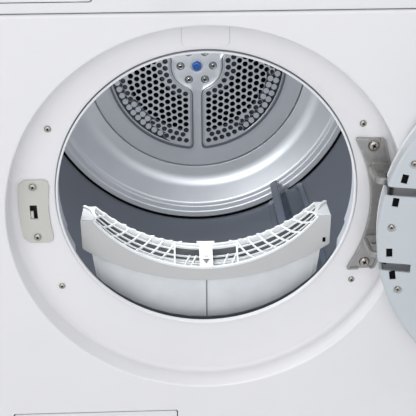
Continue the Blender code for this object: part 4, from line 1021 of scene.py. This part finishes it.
FILTER_REACH = 0.1445        # half width of the hollowed top
FILTER_END = 0.161
FILTER_TOP = -0.045
FILTER_FRONT = 0.03
FILTER_REAR = 0.072
FRONT_DIP = 0.073
REAR_DIP = 0.0585
BAND_END_Z = -0.0857
BAND_DIP = 0.0513


def span_block(x0, x1, depths, heights, soft=0.0):
    """A block between two places across, two depths and two heights, all from the mouth."""
    return block(mouth(min(x0, x1), depths[0], heights[0]), mouth(max(x0, x1), depths[1], heights[1]), soft)


def dip_height(x, reach, end_height, dip):
    radius = (reach ** 2 + dip ** 2) / (2.0 * dip)
    return end_height - dip + radius - sqrt(radius ** 2 - x ** 2)


def saddle(across, back, below=0.0):
    """A point of the hollowed top: across from -1 to 1, back from 0 at the front edge to 1 at the rear."""
    x = FILTER_REACH * across
    front = dip_height(x, FILTER_REACH, FILTER_TOP, FRONT_DIP)
    rear = dip_height(x, FILTER_REACH, FILTER_TOP, REAR_DIP)
    height = front + (rear - front) * back - 0.0025 * sin(pi * back)
    return mouth(x, FILTER_FRONT + (FILTER_REAR - FILTER_FRONT) * back, height - below)


def body_outline(inset=0.0):
    """The filter's tapered body, whose top edge hides behind the band, from the front."""
    side = [(0.15, -0.09), (0.148, -0.11), (0.1375, -0.2, 0.02), (0.121, -0.222, 0.004)]
    corners = [(point[0] - inset, max(point[1], -0.222 + inset)) + point[2:] for point in side]
    corners += [(-point[0], *point[1:]) for point in reversed(corners)]
    return rounded(corners) + hung_arc(0.15 - inset, -0.085, 0.044, 24)


def rear_depth(height):
    """The filter's back leans forward below its middle."""
    share = min(max((-0.131 - height) / 0.101, 0.0), 1.0)
    return FILTER_REAR - 0.022 * share


def make_filter_band():
    """The smooth front plate below the grille, with its rim; the plate is the white moulding painted grey
    for the shade on its forward face.
    """
    top = hung_arc(FILTER_REACH, FILTER_TOP, FRONT_DIP, 48)
    low = hung_arc(FILTER_END, BAND_END_Z, BAND_DIP, 48)
    outline = [(-FILTER_END, FILTER_TOP)] + top + [(FILTER_END, FILTER_TOP)] + list(reversed(low))
    band = prism(outline, FILTER_FRONT, FILTER_FRONT + 0.0026, soft=0.0005, origin=MOUTH)
    mark = lathe(rectangle(0.001, -0.0003, 0.0018, 0.0004), mouth(0.0, FILTER_FRONT, -0.1275), steps=24)
    piece("filter_band_front", join(band, mark), "band", "lint_filter", ["filter_frame"])
    # a near-black block painted as the shade in the band's notch
    hole = block(
        mouth(0.1514, FILTER_FRONT - 0.0002, -0.0828), mouth(0.1554, FILTER_FRONT + 0.0006, -0.0762))
    piece("filter_band_notch_shade", hole, "void", "lint_filter")


def make_filter_rim():
    """White rim along the band, the rear rail with its stops, and the closed square ends."""
    shapes = []
    samples = [step / 30.0 - 1.0 for step in range(61)]
    rim = [saddle(across, 0.045) + Vector((0.0, 0.0, 0.0006)) for across in samples]
    shapes.append(bar(rim, 0.004, 0.003, soft=0.0005))
    rail = [saddle(across, 0.955) + Vector((0.0, 0.0, 0.0004)) for across in samples]
    shapes.append(bar(rail, 0.0036, 0.008, soft=0.0004))
    for side in (-1.0, 1.0):
        for index in range(9):
            across = side * (0.22 + 0.085 * index)
            start = saddle(across, 0.95) + Vector((0.0, 0.0, 0.002 if index % 3 else 0.003))
            end = saddle(across + side * 0.035, 0.95) + Vector((0.0, 0.0, 0.0014))
            shapes.append(bar([start, end], 0.003, 0.005, soft=0.0003))
        depths = (FILTER_FRONT + 0.0026, FILTER_REAR)
        x_out = side * FILTER_END
        shapes.append(
            span_block(side * FILTER_REACH, x_out, depths, (FILTER_TOP - 0.0024, FILTER_TOP), 0.0006))
        raised = [mouth(side * 0.142, FILTER_FRONT + 0.012, FILTER_TOP - 0.0004),
                  mouth(side * 0.15, FILTER_FRONT + 0.03, FILTER_TOP + 0.0026),
                  mouth(side * 0.16, FILTER_FRONT + 0.04, FILTER_TOP + 0.0028)]
        shapes.append(bar(raised, 0.0042, 0.0036, soft=0.0004))
        ridge = [mouth(side * 0.146, FILTER_FRONT + 0.006, FILTER_TOP + 0.0006),
                 mouth(side * 0.1602, FILTER_FRONT + 0.009, FILTER_TOP + 0.0006)]
        shapes.append(bar(ridge, 0.0014, 0.0016))
        heights = (BAND_END_Z - 0.001, FILTER_TOP - 0.002)
        shapes.append(span_block(side * (FILTER_END - 0.0012), x_out, depths, heights, 0.0004))
    piece("filter_rim", join(*shapes), "filter", "lint_filter")


def make_filter_grille():
    """Long ribs that follow the hollow, and slanting ones that lean towards the middle."""
    shapes = []
    tab = 0.062
    post = 0.29
    for back in (0.26, 0.5, 0.74):
        for side in (-1.0, 1.0):
            path = [saddle(side * (post + (1.0 - post) * step / 20.0), back) for step in range(21)]
            shapes.append(bar(path, 0.0017, 0.0024, soft=0.0003))
    lean = 0.15
    for side in (-1.0, 1.0):
        for index in range(7):
            start = 0.44 + 0.105 * index
            path = []
            for step in range(7):
                across = max(start - lean * step / 6.0, post)
                path.append(saddle(side * min(across, 0.99), 0.06 + 0.88 * step / 6.0, -0.0002))
            shapes.append(bar(path, 0.0018, 0.0026, soft=0.0003))
        shapes.append(bar([
            saddle(side * post, back) for back in (0.04, 0.5, 0.96)], 0.0022, 0.007, soft=0.0003))
    for height, depths in ((0.0095, (0.3, 0.46)), (0.012, (0.62, 0.8))):
        for back in depths:
            path = [saddle(post * (step / 6.0 - 1.0), back, height) for step in range(13)]
            shapes.append(bar(path, 0.0018, 0.0022))
    for across in (-0.21, -0.15, 0.15, 0.23):
        shapes.append(bar([
            saddle(across, 0.25, 0.008), saddle(across + 0.06, 0.85, 0.0125)], 0.0018, 0.003))

    plate = [saddle(0.0, back, -0.0004) for back in (0.05, 0.35, 0.65, 0.92)]
    shapes.append(bar(plate, 2.0 * tab * FILTER_REACH, 0.0016, soft=0.0004))
    hood = [saddle(across / 10.0, 0.84, -0.0006) for across in range(-3, 4)]
    shapes.append(bar(hood, 0.0026, 0.0026, soft=0.0005))
    catch = [saddle(across / 12.0, 1.0, -0.0022) for across in range(-1, 2)]
    shapes.append(bar(catch, 0.0024, 0.0034, soft=0.0005))
    piece("filter_grille", join(*shapes), "filter", "lint_filter")

    lines = []
    for back, half in ((0.2, 0.0011), (0.27, 0.0026), (0.34, 0.0042)):
        y = FILTER_FRONT + (FILTER_REAR - FILTER_FRONT) * back
        z = saddle(0.0, back, 0.0).z - MOUTH.z
        lines.append(block(mouth(-half, y, z), mouth(half, y + 0.0016, z + 0.0018)))
    stem = saddle(0.0, 0.48)
    for side in (-1.0, 1.0):
        lines.append(block((stem.x + side * 0.0013 - 0.0006, stem.y, stem.z),
                           (stem.x + side * 0.0013 + 0.0006, stem.y + 0.006, stem.z + 0.0016)))
    piece("filter_arrow", join(*lines), "print", "lint_filter")


def make_filter_body():
    """The tapered basket: a frame round two cloth windows in front and behind, and solid side walls."""
    outline = body_outline()
    walls = []
    for (x, z), (x_in, z_in) in zip(outline, body_outline(0.002)):
        front = FILTER_FRONT + 0.0036
        walls.append([mouth(x, front, z), mouth(x, rear_depth(z), z), mouth(x_in, rear_depth(z), z_in),
                      mouth(x_in, front, z_in)])
    shapes = [loft(walls)]
    face = prism(outline, FILTER_FRONT + 0.0034, FILTER_FRONT + 0.005, origin=MOUTH)
    windows = []
    for side in (-1.0, 1.0):
        corners = [(0.0035, -0.1), (0.144, -0.07), (0.1415, -0.12), (0.132, -0.195, 0.01),
                   (0.119, -0.215, 0.004), (0.0035, -0.215)]
        window = rounded([(side * corner[0], *corner[1:]) for corner in corners])
        windows.append(prism(window, FILTER_FRONT, FILTER_FRONT + 0.01, origin=MOUTH))
    shapes.append(carved(face, *windows))
    for x in (-0.0021, 0.0021):
        shapes.append(bar([
            mouth(x, FILTER_FRONT + 0.0022, -0.219), mouth(x, FILTER_FRONT + 0.0022, -0.13)], 0.0011, 0.002,
            up=FORWARD, soft=0.0003))
    for side in (-1.0, 1.0):
        frame_line = [(0.144, -0.09), (0.1415, -0.12), (0.132, -0.196), (0.12, -0.215)]
        path = [mouth(side * x, FILTER_FRONT + 0.0026, z) for x, z in frame_line]
        shapes.append(bar(path, 0.0012, 0.0014, up=FORWARD))
    for x in (-0.12, -0.06, 0.0, 0.06, 0.12):
        top = dip_height(x, FILTER_REACH, FILTER_TOP, REAR_DIP) - 0.006
        path = [mouth(x, rear_depth(z) + 0.0004, z) for z in (-0.2185, -0.17, -0.131, top)]
        shapes.append(bar(path, 0.003, 0.0014, up=-FORWARD))
    piece("filter_basket", join(*shapes), "filter", "lint_filter")
    slit = block(mouth(-0.0008, FILTER_FRONT + 0.003, -0.218), mouth(0.0008, FILTER_FRONT + 0.0034, -0.13))
    piece("filter_basket_slit", slit, "print", "lint_filter")

    cloth = prism(body_outline(0.0022), FILTER_FRONT + 0.0042, FILTER_FRONT + 0.0047, origin=MOUTH)
    piece("filter_cloth_front", cloth, "mesh", "lint_filter", ["filter_screen"])
    rows = []
    for share in range(11):
        row = []
        for step in range(33):
            across = step / 16.0 - 1.0
            top = dip_height(FILTER_REACH * across, FILTER_REACH, FILTER_TOP, REAR_DIP) - 0.0065
            z = top + (-0.221 - top) * share / 10.0
            half = 0.149 if z > -0.1 else 0.149 + (z + 0.1) * 0.13
            row.append(mouth(half * across, rear_depth(z) - 0.0008, z))
        rows.append(row)
    # the rear cloth takes the darkened cloth: painted shade inside the basket
    cloth = solid(tidy(skin(rows, closed_rows=False)[0]), 0.0005, 0.0)
    piece("filter_cloth_rear", cloth, "screen", "lint_filter")


# ---------------------------------------------------------------- door furniture
ARM_FEET = (0.0488, -0.05)   # heights of the hinge's two arms above its middle
ARM_THICK = 0.0056
ARM_TALL = 0.008
ARM_TOP = 0.006              # an arm's and its notch's edges, from the arm's foot
NOTCH_LOW = -0.0026
NOTCH_HIGH = 0.0086
NOTCH_FRONT = HINGE.y - 0.0053


def make_hinge():
    """A zinc plate between two arcs, with a raised edge, open screw pockets and two bent arms."""
    face = -0.006
    drop = 0.015
    half = 0.0905
    bow = 0.1733                 # the inner edge's radius, and how far its centre stands from the mouth's
    bow_x = 0.0287
    outer_deg = 20.6
    inner_deg = degrees(asin(half / bow))
    edge = 0.0035                # width of the raised edge at the plate's ends
    centre = (0.0, -drop)
    inner_line = arc((bow_x, -drop), bow, -inner_deg, inner_deg, 16)
    top = -drop + half
    low = -drop - half
    corners = arc(centre, 0.2305, outer_deg, -outer_deg, 16)[1:-1]
    corners += [(0.2145, low + 0.001, 0.006), (inner_line[0][0] + 0.001, low, 0.0022)] + inner_line[1:-1]
    corners += [(inner_line[-1][0] + 0.001, top, 0.0022), (0.2145, top - 0.001, 0.006)]
    plate = prism(rounded(corners), face, -0.0003, soft=0.0012, origin=MOUTH)
    corners = arc(centre, 0.2268, 18.5, -18.5, 12)
    corners += [(0.212, low + edge, 0.003), (0.185, low + edge, 0.002)]
    corners += arc((bow_x, -drop), bow + 0.0032, 1.5 - inner_deg, inner_deg - 1.5, 12)
    corners += [(0.185, top - edge, 0.002), (0.212, top - edge, 0.003)]
    cutters = [prism(rounded(corners), face - 0.002, face + 0.0022, origin=MOUTH)]
    screws = (("hinge_screw_1", 1.0, 180.0), ("hinge_screw_2", -1.0, 0.0))
    for node, side, start in screws:
        x, _, z = centre_of(node)
        pocket = arc((x, z), 0.0074, start, start + 180.0, 14)
        pocket += [(x + side * 0.0078, z + side * 0.03), (x - side * 0.0078, z + side * 0.03)]
        cutters.append(prism(pocket, MOUTH.y + face - 0.01, MOUTH.y - 0.0021))
    plate = carved(plate, *cutters)

    arms = []
    stem = HINGE.x - 0.017
    bend = 0.0075
    for foot in ARM_FEET:
        z = HINGE.z + foot
        arm_top = z + ARM_TOP
        path = [(stem - 0.001, MOUTH.y - 0.0035)]
        path += arc((stem + bend, HINGE.y + bend - 0.0005), bend, 180.0, 270.0, 8)
        path += [(HINGE.x - 0.002, HINGE.y - 0.0002)]
        web = bar([Vector((x, y, arm_top)) for x, y in path], ARM_THICK, ARM_TALL, soft=0.0014)
        profile = [(0.003, -0.005), (0.0049, -0.005, 0.0006), (0.0049, 0.005, 0.0006), (0.003, 0.005)]
        eye = lathe(rounded(profile, steps=3), (HINGE.x, HINGE.y, z + 0.003), axis="Z", steps=32)
        base = prism(rectangle(stem - 0.0005, z - 0.0045, stem + 0.019, z + 0.0105, 0.003),
                     MOUTH.y - 0.0078, MOUTH.y - 0.003, soft=0.001)
        pool = prism(rectangle(stem + 0.007, z - 0.002, stem + 0.0168, z + 0.0082, 0.002),
                     MOUTH.y - 0.009, MOUTH.y - 0.0055)
        arms += [web, eye, carved(base, pool)]
    piece("hinge_casting", join(plate, *arms), "zinc", "cabinet", ["hinge_bracket"])
    for node, *_ in screws:
        set_screw(node, 1.45)


def make_latch():
    """A moulded plate with two screws and a slot, half of it filled by the slide behind."""
    low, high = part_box("latch_plate")
    thick = high.y - low.y
    drop = MOUTH.z - centre_of("latch_plate")[2]
    half = (high.z - low.z) / 2.0
    centre = (0.0, -drop)
    corners = [(-x, z) for x, z in arc(centre, 0.231, 9.0, -9.0, 10)]
    corners += [(-0.2215, -drop - half, 0.008), (-0.1925, -drop - half, 0.008)]
    corners += [(-x, z) for x, z in arc(centre, 0.194, -9.5, 9.5, 10)]
    corners += [(-0.1925, -drop + half, 0.008), (-0.2215, -drop + half, 0.008)]
    plate = prism(rounded(corners), -thick, -0.0003, soft=0.001, origin=MOUTH)
    slot_x = (-0.217, -0.208)
    mid = -drop
    mouth_cut = block(mouth(slot_x[0], -0.02, mid - 0.0095), mouth(slot_x[1], 0.02, mid + 0.0095))
    dish = []
    for index in (1, 2):
        x, _, z = centre_of(f"latch_screw_{index}")
        dish.append(lathe([(0.0, -0.002), (0.0056, -0.002), (0.0046, 0.0006), (0.0, 0.0006)],
                          (x, MOUTH.y - thick, z), steps=32))
    plate = carved(plate, mouth_cut, *dish)
    piece("latch_cover", plate, "latch", "cabinet", ["latch_plate"])
    slide = block(mouth(slot_x[0] + 0.0003, -0.0016, mid - 0.0092), mouth(-0.2132, 0.001, mid + 0.0006),
                  soft=0.0004)
    piece("latch_slide", slide, "latch", "cabinet")
    back = block(
        mouth(slot_x[0] - 0.004, 0.0104, mid - 0.015), mouth(slot_x[1] + 0.004, 0.0112, mid + 0.015))
    piece("latch_shade", back, "void", "cabinet")
    for index in (1, 2):
        set_screw(f"latch_screw_{index}", 1.25)


def make_panel_screws():
    for index in range(1, 5):
        set_screw(f"panel_screw_{index}")


# ---------------------------------------------------------------- door, built closed
def on_door(radius, angle_deg, depth):
    angle = radians(angle_deg)
    return Vector((radius * cos(angle), MOUTH.y + depth, HINGE.z + radius * sin(angle)))


def make_door():
    r = 0.231
    inner = -0.0085
    outer = -0.0495
    window = 0.15
    centre = Vector((0.0, MOUTH.y, HINGE.z))
    profile = rounded([
        (r - 0.0014, inner - 0.027), (r, inner - 0.028, 0.0005), (r, outer, 0.0085),
        (0.19, outer - 0.0012, 0.02), (window + 0.009, outer - 0.0066, 0.004),
        (window, outer - 0.0066, 0.001), (window, outer - 0.004), (window + 0.009, outer - 0.004, 0.003),
        (0.19, outer + 0.0014, 0.02), (r - 0.0026, outer + 0.0026, 0.007), (r - 0.0026, inner - 0.027)])
    shell = lathe(profile, centre)
    slots = []
    for foot in ARM_FEET:
        z = HINGE.z + foot
        slots.append(block((HINGE.x - 0.029, NOTCH_FRONT, z + NOTCH_LOW),
                           (HINGE.x + 0.03, MOUTH.y + 0.01, z + NOTCH_HIGH)))
    face = MOUTH.y + outer
    scoop = block((-0.2185, face - 0.01, HINGE.z - 0.038), (-0.197, face + 0.016, HINGE.z + 0.038))
    liner = block((-0.2202, face + 0.0012, HINGE.z - 0.0397), (-0.1953, face + 0.018, HINGE.z + 0.0397))
    shell = carved(carved(shell, liner, union=True), scoop, *[slot.copy() for slot in slots])
    piece("door_shell", shell, "plastic", "door", ["door_outer"])

    trim = lathe(rounded([
        (window - 0.0006, outer - 0.0072, 0.0006), (window + 0.006, outer - 0.0078, 0.0012),
        (window + 0.0086, outer - 0.0064, 0.0006), (window, outer - 0.006)], steps=3), centre)
    piece("door_trim_ring", trim, "silver", "door")
    pane = lathe(rounded([
        (0.0, -0.059), (0.08, -0.0584, 0.06), (window - 0.0008, outer - 0.0068),
        (window - 0.0008, outer - 0.0042), (0.08, -0.0558, 0.06), (0.0, -0.0564)]), centre, steps=96)
    piece("door_pane", pane, "smoked", "door", ["door_window"])

    edge = r - 0.0005
    ring = lathe(rounded([
        (edge, inner - 0.0262), (edge, inner, 0.005), (0.179, inner, 0.001),
        (0.178, inner - 0.0012, 0.0006), (0.172, inner - 0.0012, 0.001), (0.163, inner - 0.004, 0.002),
        (0.163, inner - 0.0062), (0.171, inner - 0.003, 0.001), (edge - 0.003, inner - 0.0026, 0.003),
        (edge - 0.003, inner - 0.0262)]), centre)
    dimples = []
    pocket_shades = []
    screws = []
    for index in range(16):
        seat = on_door(0.2145, 22.5 * index + PATTERN_TURN, inner)
        dimples.append(lathe([
            (0.0, 0.002), (0.0056, 0.002), (0.0052, -0.0018), (0.0, -0.0018)], seat, steps=24))
        screws.append(placed_screw(seat + Vector((0.0, -0.0017, 0.0)), 0.95, pi, "Z"))
    for angle in SQUARE_ANGLES:
        seat = on_door(0.216, angle + PATTERN_TURN, inner)
        turn = Matrix.Translation(seat) @ Matrix.Rotation(-radians(angle) * 0.55, 4, "Y")
        dimples.append(moved(block((-0.0036, -0.0018, -0.0056), (0.0036, 0.004, 0.0056)), turn))
        # a near-black plate at the floor of each square pocket: painted shade
        pocket_shades.append(moved(block((-0.0035, -0.0017, -0.0055), (0.0035, -0.0009, 0.0055)), turn))
    ring = carved(ring, *dimples, *slots)
    piece("door_liner_ring", ring, "door", "door", ["door_inner"])
    for foot in ARM_FEET:
        z = HINGE.z + foot
        # near-black plates at the back of the arms' notches: painted shade
        pocket_shades.append(block((HINGE.x - 0.0285, NOTCH_FRONT, z + NOTCH_LOW + 0.0002),
                          (HINGE.x + 0.008, NOTCH_FRONT + 0.0003, z + NOTCH_HIGH - 0.0002)))
    piece("door_liner_pocket_shade", join(*pocket_shades), "void", "door")
    piece("door_liner_screws", join(*screws), "screw", "door")

    back = inner - 0.0066
    deep = 0.017
    bowl = lathe(rounded([
        (0.0, deep), (0.12, deep, 0.02), (0.148, deep - 0.008, 0.01), (0.157, back, 0.003),
        (0.172, back, 0.001), (0.172, back - 0.003), (0.1545, back - 0.003, 0.003),
        (0.1455, deep - 0.0105, 0.01), (0.118, deep - 0.0032, 0.02), (0.0, deep - 0.0032)]), centre,
        steps=96)
    piece("door_glass_bowl", bowl, "clear", "door", ["door_bowl"])
    gasket = lathe(rounded([
        (0.173, inner - 0.0004, 0.001), (0.1775, inner + 0.0016, 0.001), (0.1785, inner - 0.001),
        (0.173, inner - 0.0014)], steps=3), centre)
    piece("door_gasket", gasket, "rubber", "door")


PATTERN_TURN = 1.45          # degrees that the liner's pattern is turned about the door's centre
SQUARE_ANGLES = [base + offset for base in (0.0, 90.0, 180.0, 270.0) for offset in (-17.0, -8.8, 8.8, 17.0)]


# ---------------------------------------------------------------- controls, tank and flap
def make_controls():
    low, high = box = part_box("control_panel")
    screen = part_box("display_window")
    knob = Vector(JOINTS["knob_turn"]["pos_m"])
    start = centre_of("start_button")[::2]
    shell = panel(box, 0.0, 0.0035, low.y, high.y, 0.0025)
    cutters = [
        panel(box, 0.003, 0.0, low.y + 0.003, high.y + 0.01),
        panel(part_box("tank_front"), -0.0008, 0.004, low.y - 0.01, low.y + 0.01),
        panel(screen, -0.0004, 0.004, low.y - 0.01, low.y + 0.0016),
        prism(circle((knob.x, knob.z), 0.0065, 24), low.y - 0.01, low.y + 0.01),
        prism(circle(start, 0.0107, 48), low.y - 0.01, low.y + 0.01)]
    for index in (1, 2):
        cutters.append(panel(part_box(f"option_button_{index}"), -0.0006, 0.002, low.y - 0.01, low.y + 0.01))
    piece("fascia", carved(shell, *cutters), "plastic", "cabinet", ["control_panel"])

    marks = []
    for index in range(12):
        angle = radians(-60.0 + 300.0 / 11.0 * index)
        long = 0.0024 if index % 3 else 0.004
        spot = Vector((knob.x + 0.0325 * sin(angle), low.y, knob.z + 0.0325 * cos(angle)))
        tick = prism(rectangle(-0.0005, 0.0, 0.0005, long, 0.0004), -0.0002, 0.0002)
        marks.append(moved(tick, Matrix.Translation(spot) @ Matrix.Rotation(angle, 4, "Y")))
    ring = lathe(rectangle(0.0125, -0.0002, 0.0131, 0.0002), (start[0], low.y, start[1]), steps=64)
    piece("fascia_marks", join(ring, *marks), "print", "cabinet")

    depth = knob.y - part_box("programme_knob")[0].y
    profile = rounded([
        (0.0, -depth), (0.019, -depth, 0.004), (0.02, -depth + 0.0012, 0.0006),
        (0.0222, -depth + 0.0012, 0.0012), (0.025, -0.006, 0.004), (0.0262, -0.0012, 0.0006),
        (0.0262, -0.0004), (0.0058, -0.0004), (0.0058, 0.0105), (0.0, 0.0105)], steps=4)
    body = lathe(profile, knob, steps=144)
    for vert in body.verts:
        offset = vert.co - knob
        radius = hypot(offset.x, offset.z)
        if 0.0205 < radius < 0.0256:
            wave = 0.5 - 0.5 * cos(36.0 * atan2(offset.z, offset.x))
            pull = 1.0 - 0.0006 * wave / radius
            vert.co.x = knob.x + offset.x * pull
            vert.co.z = knob.z + offset.z * pull
    piece("knob_grip", body, "plastic", "knob", ["programme_knob"])
    pointer = prism(rectangle(knob.x - 0.0009, knob.z + 0.0095, knob.x + 0.0009, knob.z + 0.018, 0.0008),
                    knob.y - depth - 0.0003, knob.y - depth + 0.0006)
    piece("knob_pointer", pointer, "print", "knob")
    profile = [(0.0268, -0.0004), (0.0268, -0.0014, 0.0005), (0.0284, -0.0014, 0.0005), (0.0284, -0.0004)]
    collar = lathe(rounded(profile, steps=3), knob, steps=96)
    piece("knob_ring", collar, "silver", "cabinet")

    glass = panel(screen, 0.0, 0.0036, screen[0].y, screen[1].y, 0.0004)
    piece("display_glass_plate", glass, "glass", "cabinet", ["display_window"])
    make_display(*screen)

    profile = rounded([(0.0, -0.0026), (0.0072, -0.003, 0.003), (0.0098, -0.0024, 0.001), (0.01, 0.0115),
                       (0.0, 0.0115)], steps=4)
    button = lathe(profile, (start[0], low.y, start[1]), steps=72)
    piece("start_button_cap", button, "plastic", "start_key", ["start_button"])
    glyph = [bar([Vector((start[0] - 0.0018, low.y - 0.0031, start[1] + side * 0.0028)),
                  Vector((start[0] + 0.003, low.y - 0.0031, start[1]))], 0.0007, 0.0005, up=FORWARD)
             for side in (-1.0, 1.0)]
    piece("start_button_mark", join(*glyph), "print", "start_key")
    for index in (1, 2):
        node = f"option_button_{index}"
        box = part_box(node)
        key = panel(box, 0.0, 0.0016, box[0].y, box[1].y, 0.0007)
        x, _, z = centre_of(node)
        dot = lathe(rectangle(0.0, -0.0002, 0.0011, 0.0003), (x, box[0].y, z), steps=20)
        body = f"option_key_{index}"
        piece(f"option_{index}_cap", key, "plastic", body, [node])
        piece(f"option_{index}_mark", dot, "print", body)


SEGMENTS = {"1": "bc", "4": "fgbc", "5": "afgcd"}


def make_display(low, high):
    """Plain seven-segment figures with a colon, and a row of lamp dots."""
    wide = 0.0075
    tall = 0.015
    thin = 0.0013
    y = low.y - 0.00015
    spans = {
        "a": (0, 2, 1, 2), "b": (1, 1, 1, 2), "c": (1, 0, 1, 1), "d": (0, 0, 1, 0), "f": (0, 1, 0, 2),
        "g": (0, 1, 1, 1)}
    shapes = []
    base_z = (low.z + high.z) / 2.0 - tall / 2.0 + 0.003
    for figure, x in (("1", low.x + 0.03), ("4", low.x + 0.048), ("5", low.x + 0.06)):
        for segment in SEGMENTS[figure]:
            x0, z0, x1, z1 = spans[segment]
            pad = thin / 2.0
            outline = rectangle(x + x0 * wide - pad, base_z + z0 * tall / 2.0 - pad + 0.0003,
                                x + x1 * wide + pad, base_z + z1 * tall / 2.0 + pad - 0.0003, 0.0005)
            shapes.append(prism(outline, y, y + 0.0004))
    for z in (base_z + 0.0045, base_z + 0.0105):
        shapes.append(lathe(rectangle(0.0, y, 0.0009, y + 0.0004), (low.x + 0.043, 0.0, z), steps=16))
    for index in range(6):
        shapes.append(lathe(rectangle(0.0, y, 0.001, y + 0.0004),
                            (low.x + 0.018 + 0.0175 * index, 0.0, low.z + 0.0065), steps=16))
    piece("display_figures", join(*shapes), "glow", "cabinet")


def make_tank_front():
    low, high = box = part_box("tank_front")
    middle = centre_of("tank_front")[0]
    front = panel(box, 0.0, 0.0038, low.y, high.y, 0.0016)
    outline = rectangle(middle - 0.045, 0.748, middle + 0.045, 0.77, 0.008)
    grip = prism(outline, low.y - 0.004, low.y + 0.0135)
    front = carved(front, grip)
    piece("tank_handle", front, "plastic", "condensate_drawer", ["tank_front"])
    outline = rectangle(middle - 0.0462, 0.7468, middle + 0.0462, 0.7712, 0.009)
    lip = prism(outline, low.y - 0.0005, low.y + 0.0006)
    outline = rectangle(middle - 0.0448, 0.7482, middle + 0.0448, 0.7698, 0.0078)
    hole = prism(outline, low.y - 0.002, low.y + 0.002)
    piece("tank_handle_lip", carved(lip, hole), "plastic", "condensate_drawer")
    low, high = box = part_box("water_tank")
    wall = 0.002
    body = panel(box, 0.0, 0.008, low.z, high.z, 0.0012, "Z")
    inner = panel(box, wall, 0.006, low.z + wall, high.z + 0.01, axis="Z")
    piece("tank_shell", carved(body, inner), "clear", "condensate_drawer", ["water_tank"])


def make_flap():
    low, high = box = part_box("service_flap")
    middle = centre_of("service_flap")[0]
    flap = panel(box, 0.0, 0.003, low.y, high.y, 0.001)
    outline = rectangle(middle - 0.028, high.z - 0.016, middle + 0.028, high.z - 0.004, 0.005)
    grip = prism(outline, low.y - 0.002, low.y + 0.0024)
    slots = []
    for index in range(7):
        z = low.z + 0.022 + 0.0125 * index
        slots.append(prism(rectangle(low.x + 0.022, z, high.x - 0.022, z + 0.0042, 0.002), low.y - 0.002,
                           low.y + 0.0016))
    piece("flap_panel", carved(flap, grip, *slots), "plastic", "flap", ["service_flap"])


# ---------------------------------------------------------------- camera and studio
CAMERA_PLACE = Vector((-0.0286, -1.2501, 0.9508))
CAMERA_YAW = radians(1.78)
CAMERA_PITCH = radians(26.23)
CAMERA_ROLL = radians(-0.4)
LENS_MM = 75.4
SENSOR_MM = 36.0
FLOOR_REACH = 6.0
WORLD_STRENGTH = 0.4
LIGHTS = [  # (name, place, target, size, watts)
    ("front_light", (-0.5, -3.2, 1.5), (0.0, 0.0, 0.45), (3.4, 2.6), 51.0),
    ("top_light", (0.2, -0.9, 3.0), (0.0, -0.2, 0.4), (2.4, 2.2), 17.0),
    ("right_light", (3.0, -1.6, 1.4), (0.0, 0.0, 0.45), (1.8, 2.2), 9.0),
    ("rear_light", (-1.2, 3.0, 2.0), (0.0, 0.2, 0.5), (2.4, 2.0), 45.0),
    ("drum_lamp", mouth(-0.11, 0.06, 0.115), mouth(0.18, 0.5, -0.1), (0.2, 0.06), 1.25)]


def make_camera():
    ahead = Vector((sin(CAMERA_YAW) * cos(CAMERA_PITCH), cos(CAMERA_YAW) * cos(CAMERA_PITCH),
                    -sin(CAMERA_PITCH)))
    right = Vector((cos(CAMERA_YAW), -sin(CAMERA_YAW), 0.0))
    up = right.cross(ahead)
    right, up = [Matrix.Rotation(-CAMERA_ROLL, 3, ahead) @ axis for axis in (right, up)]
    data = bpy.data.cameras.new("camera")
    data.lens = LENS_MM
    data.sensor_width = SENSOR_MM
    camera = bpy.data.objects.new("camera", data)
    turn = Matrix((right, up, -ahead)).transposed().to_4x4()
    camera.matrix_world = Matrix.Translation(CAMERA_PLACE) @ turn
    bpy.context.collection.objects.link(camera)
    bpy.context.scene.camera = camera


def add_light(name, place, target, size, power):
    data = bpy.data.lights.new(name, "AREA")
    data.shape = "RECTANGLE"
    data.size, data.size_y = size
    data.energy = power
    lamp = bpy.data.objects.new(name, data)
    lamp.location = place
    lamp.rotation_euler = (Vector(target) - Vector(place)).to_track_quat("-Z", "Y").to_euler()
    bpy.context.collection.objects.link(lamp)


def make_studio():
    world = bpy.data.worlds.new("studio")
    world.use_nodes = True
    sky = {"Color": (0.93, 0.95, 1.0, 1.0), "Strength": WORLD_STRENGTH}
    set_sockets(world.node_tree.nodes["Background"], sky)
    bpy.context.scene.world = world
    bpy.context.scene.view_settings.view_transform = "Standard"
    for row in LIGHTS:
        add_light(*row)
    floor = bmesh.new()
    ground = Matrix.Translation((0.0, 0.0, CAD_BOX[0].z))
    bmesh.ops.create_grid(floor, x_segments=8, y_segments=8, size=FLOOR_REACH, matrix=ground)
    item = make_object("studio_floor", floor)
    paper = make_look("studio_floor_paper", (0.82, 0.82, 0.83), 0.7, tone=0.01, tone_size=1.0)
    item.data.materials.append(paper)


def dress_inner_parts():
    dress("housing", "filter_housing", "tank_housing")
    dress("black", "blower_wheel", "blower_housing", "idler_pulley", "door_lock")
    dress("plastic", "drain_pump")
    dress("galvanised", "idler_arm")
    dress("screw", "hinge_pin", "rear_bearing", "motor_shaft")
    dress("rubber", "drive_belt")
    dress("motor", "drive_motor", "compressor")
    dress("fins", "heat_exchanger")
    dress("latch", "door_hook")


def write_sizes():
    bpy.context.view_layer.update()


def main():
    for step in (
            make_camera, make_studio, make_front_skin, make_lamp_cover, make_cabinet, make_rear,
            make_controls, make_tank_front, make_flap, make_drum_back, make_drum_shell, make_lifters,
            make_rear_duct, make_collar, make_filter_band, make_filter_rim, make_filter_grille,
            make_filter_body, make_hinge, make_latch, make_panel_screws, make_door, dress_inner_parts,
            write_sizes):
        step()


main()
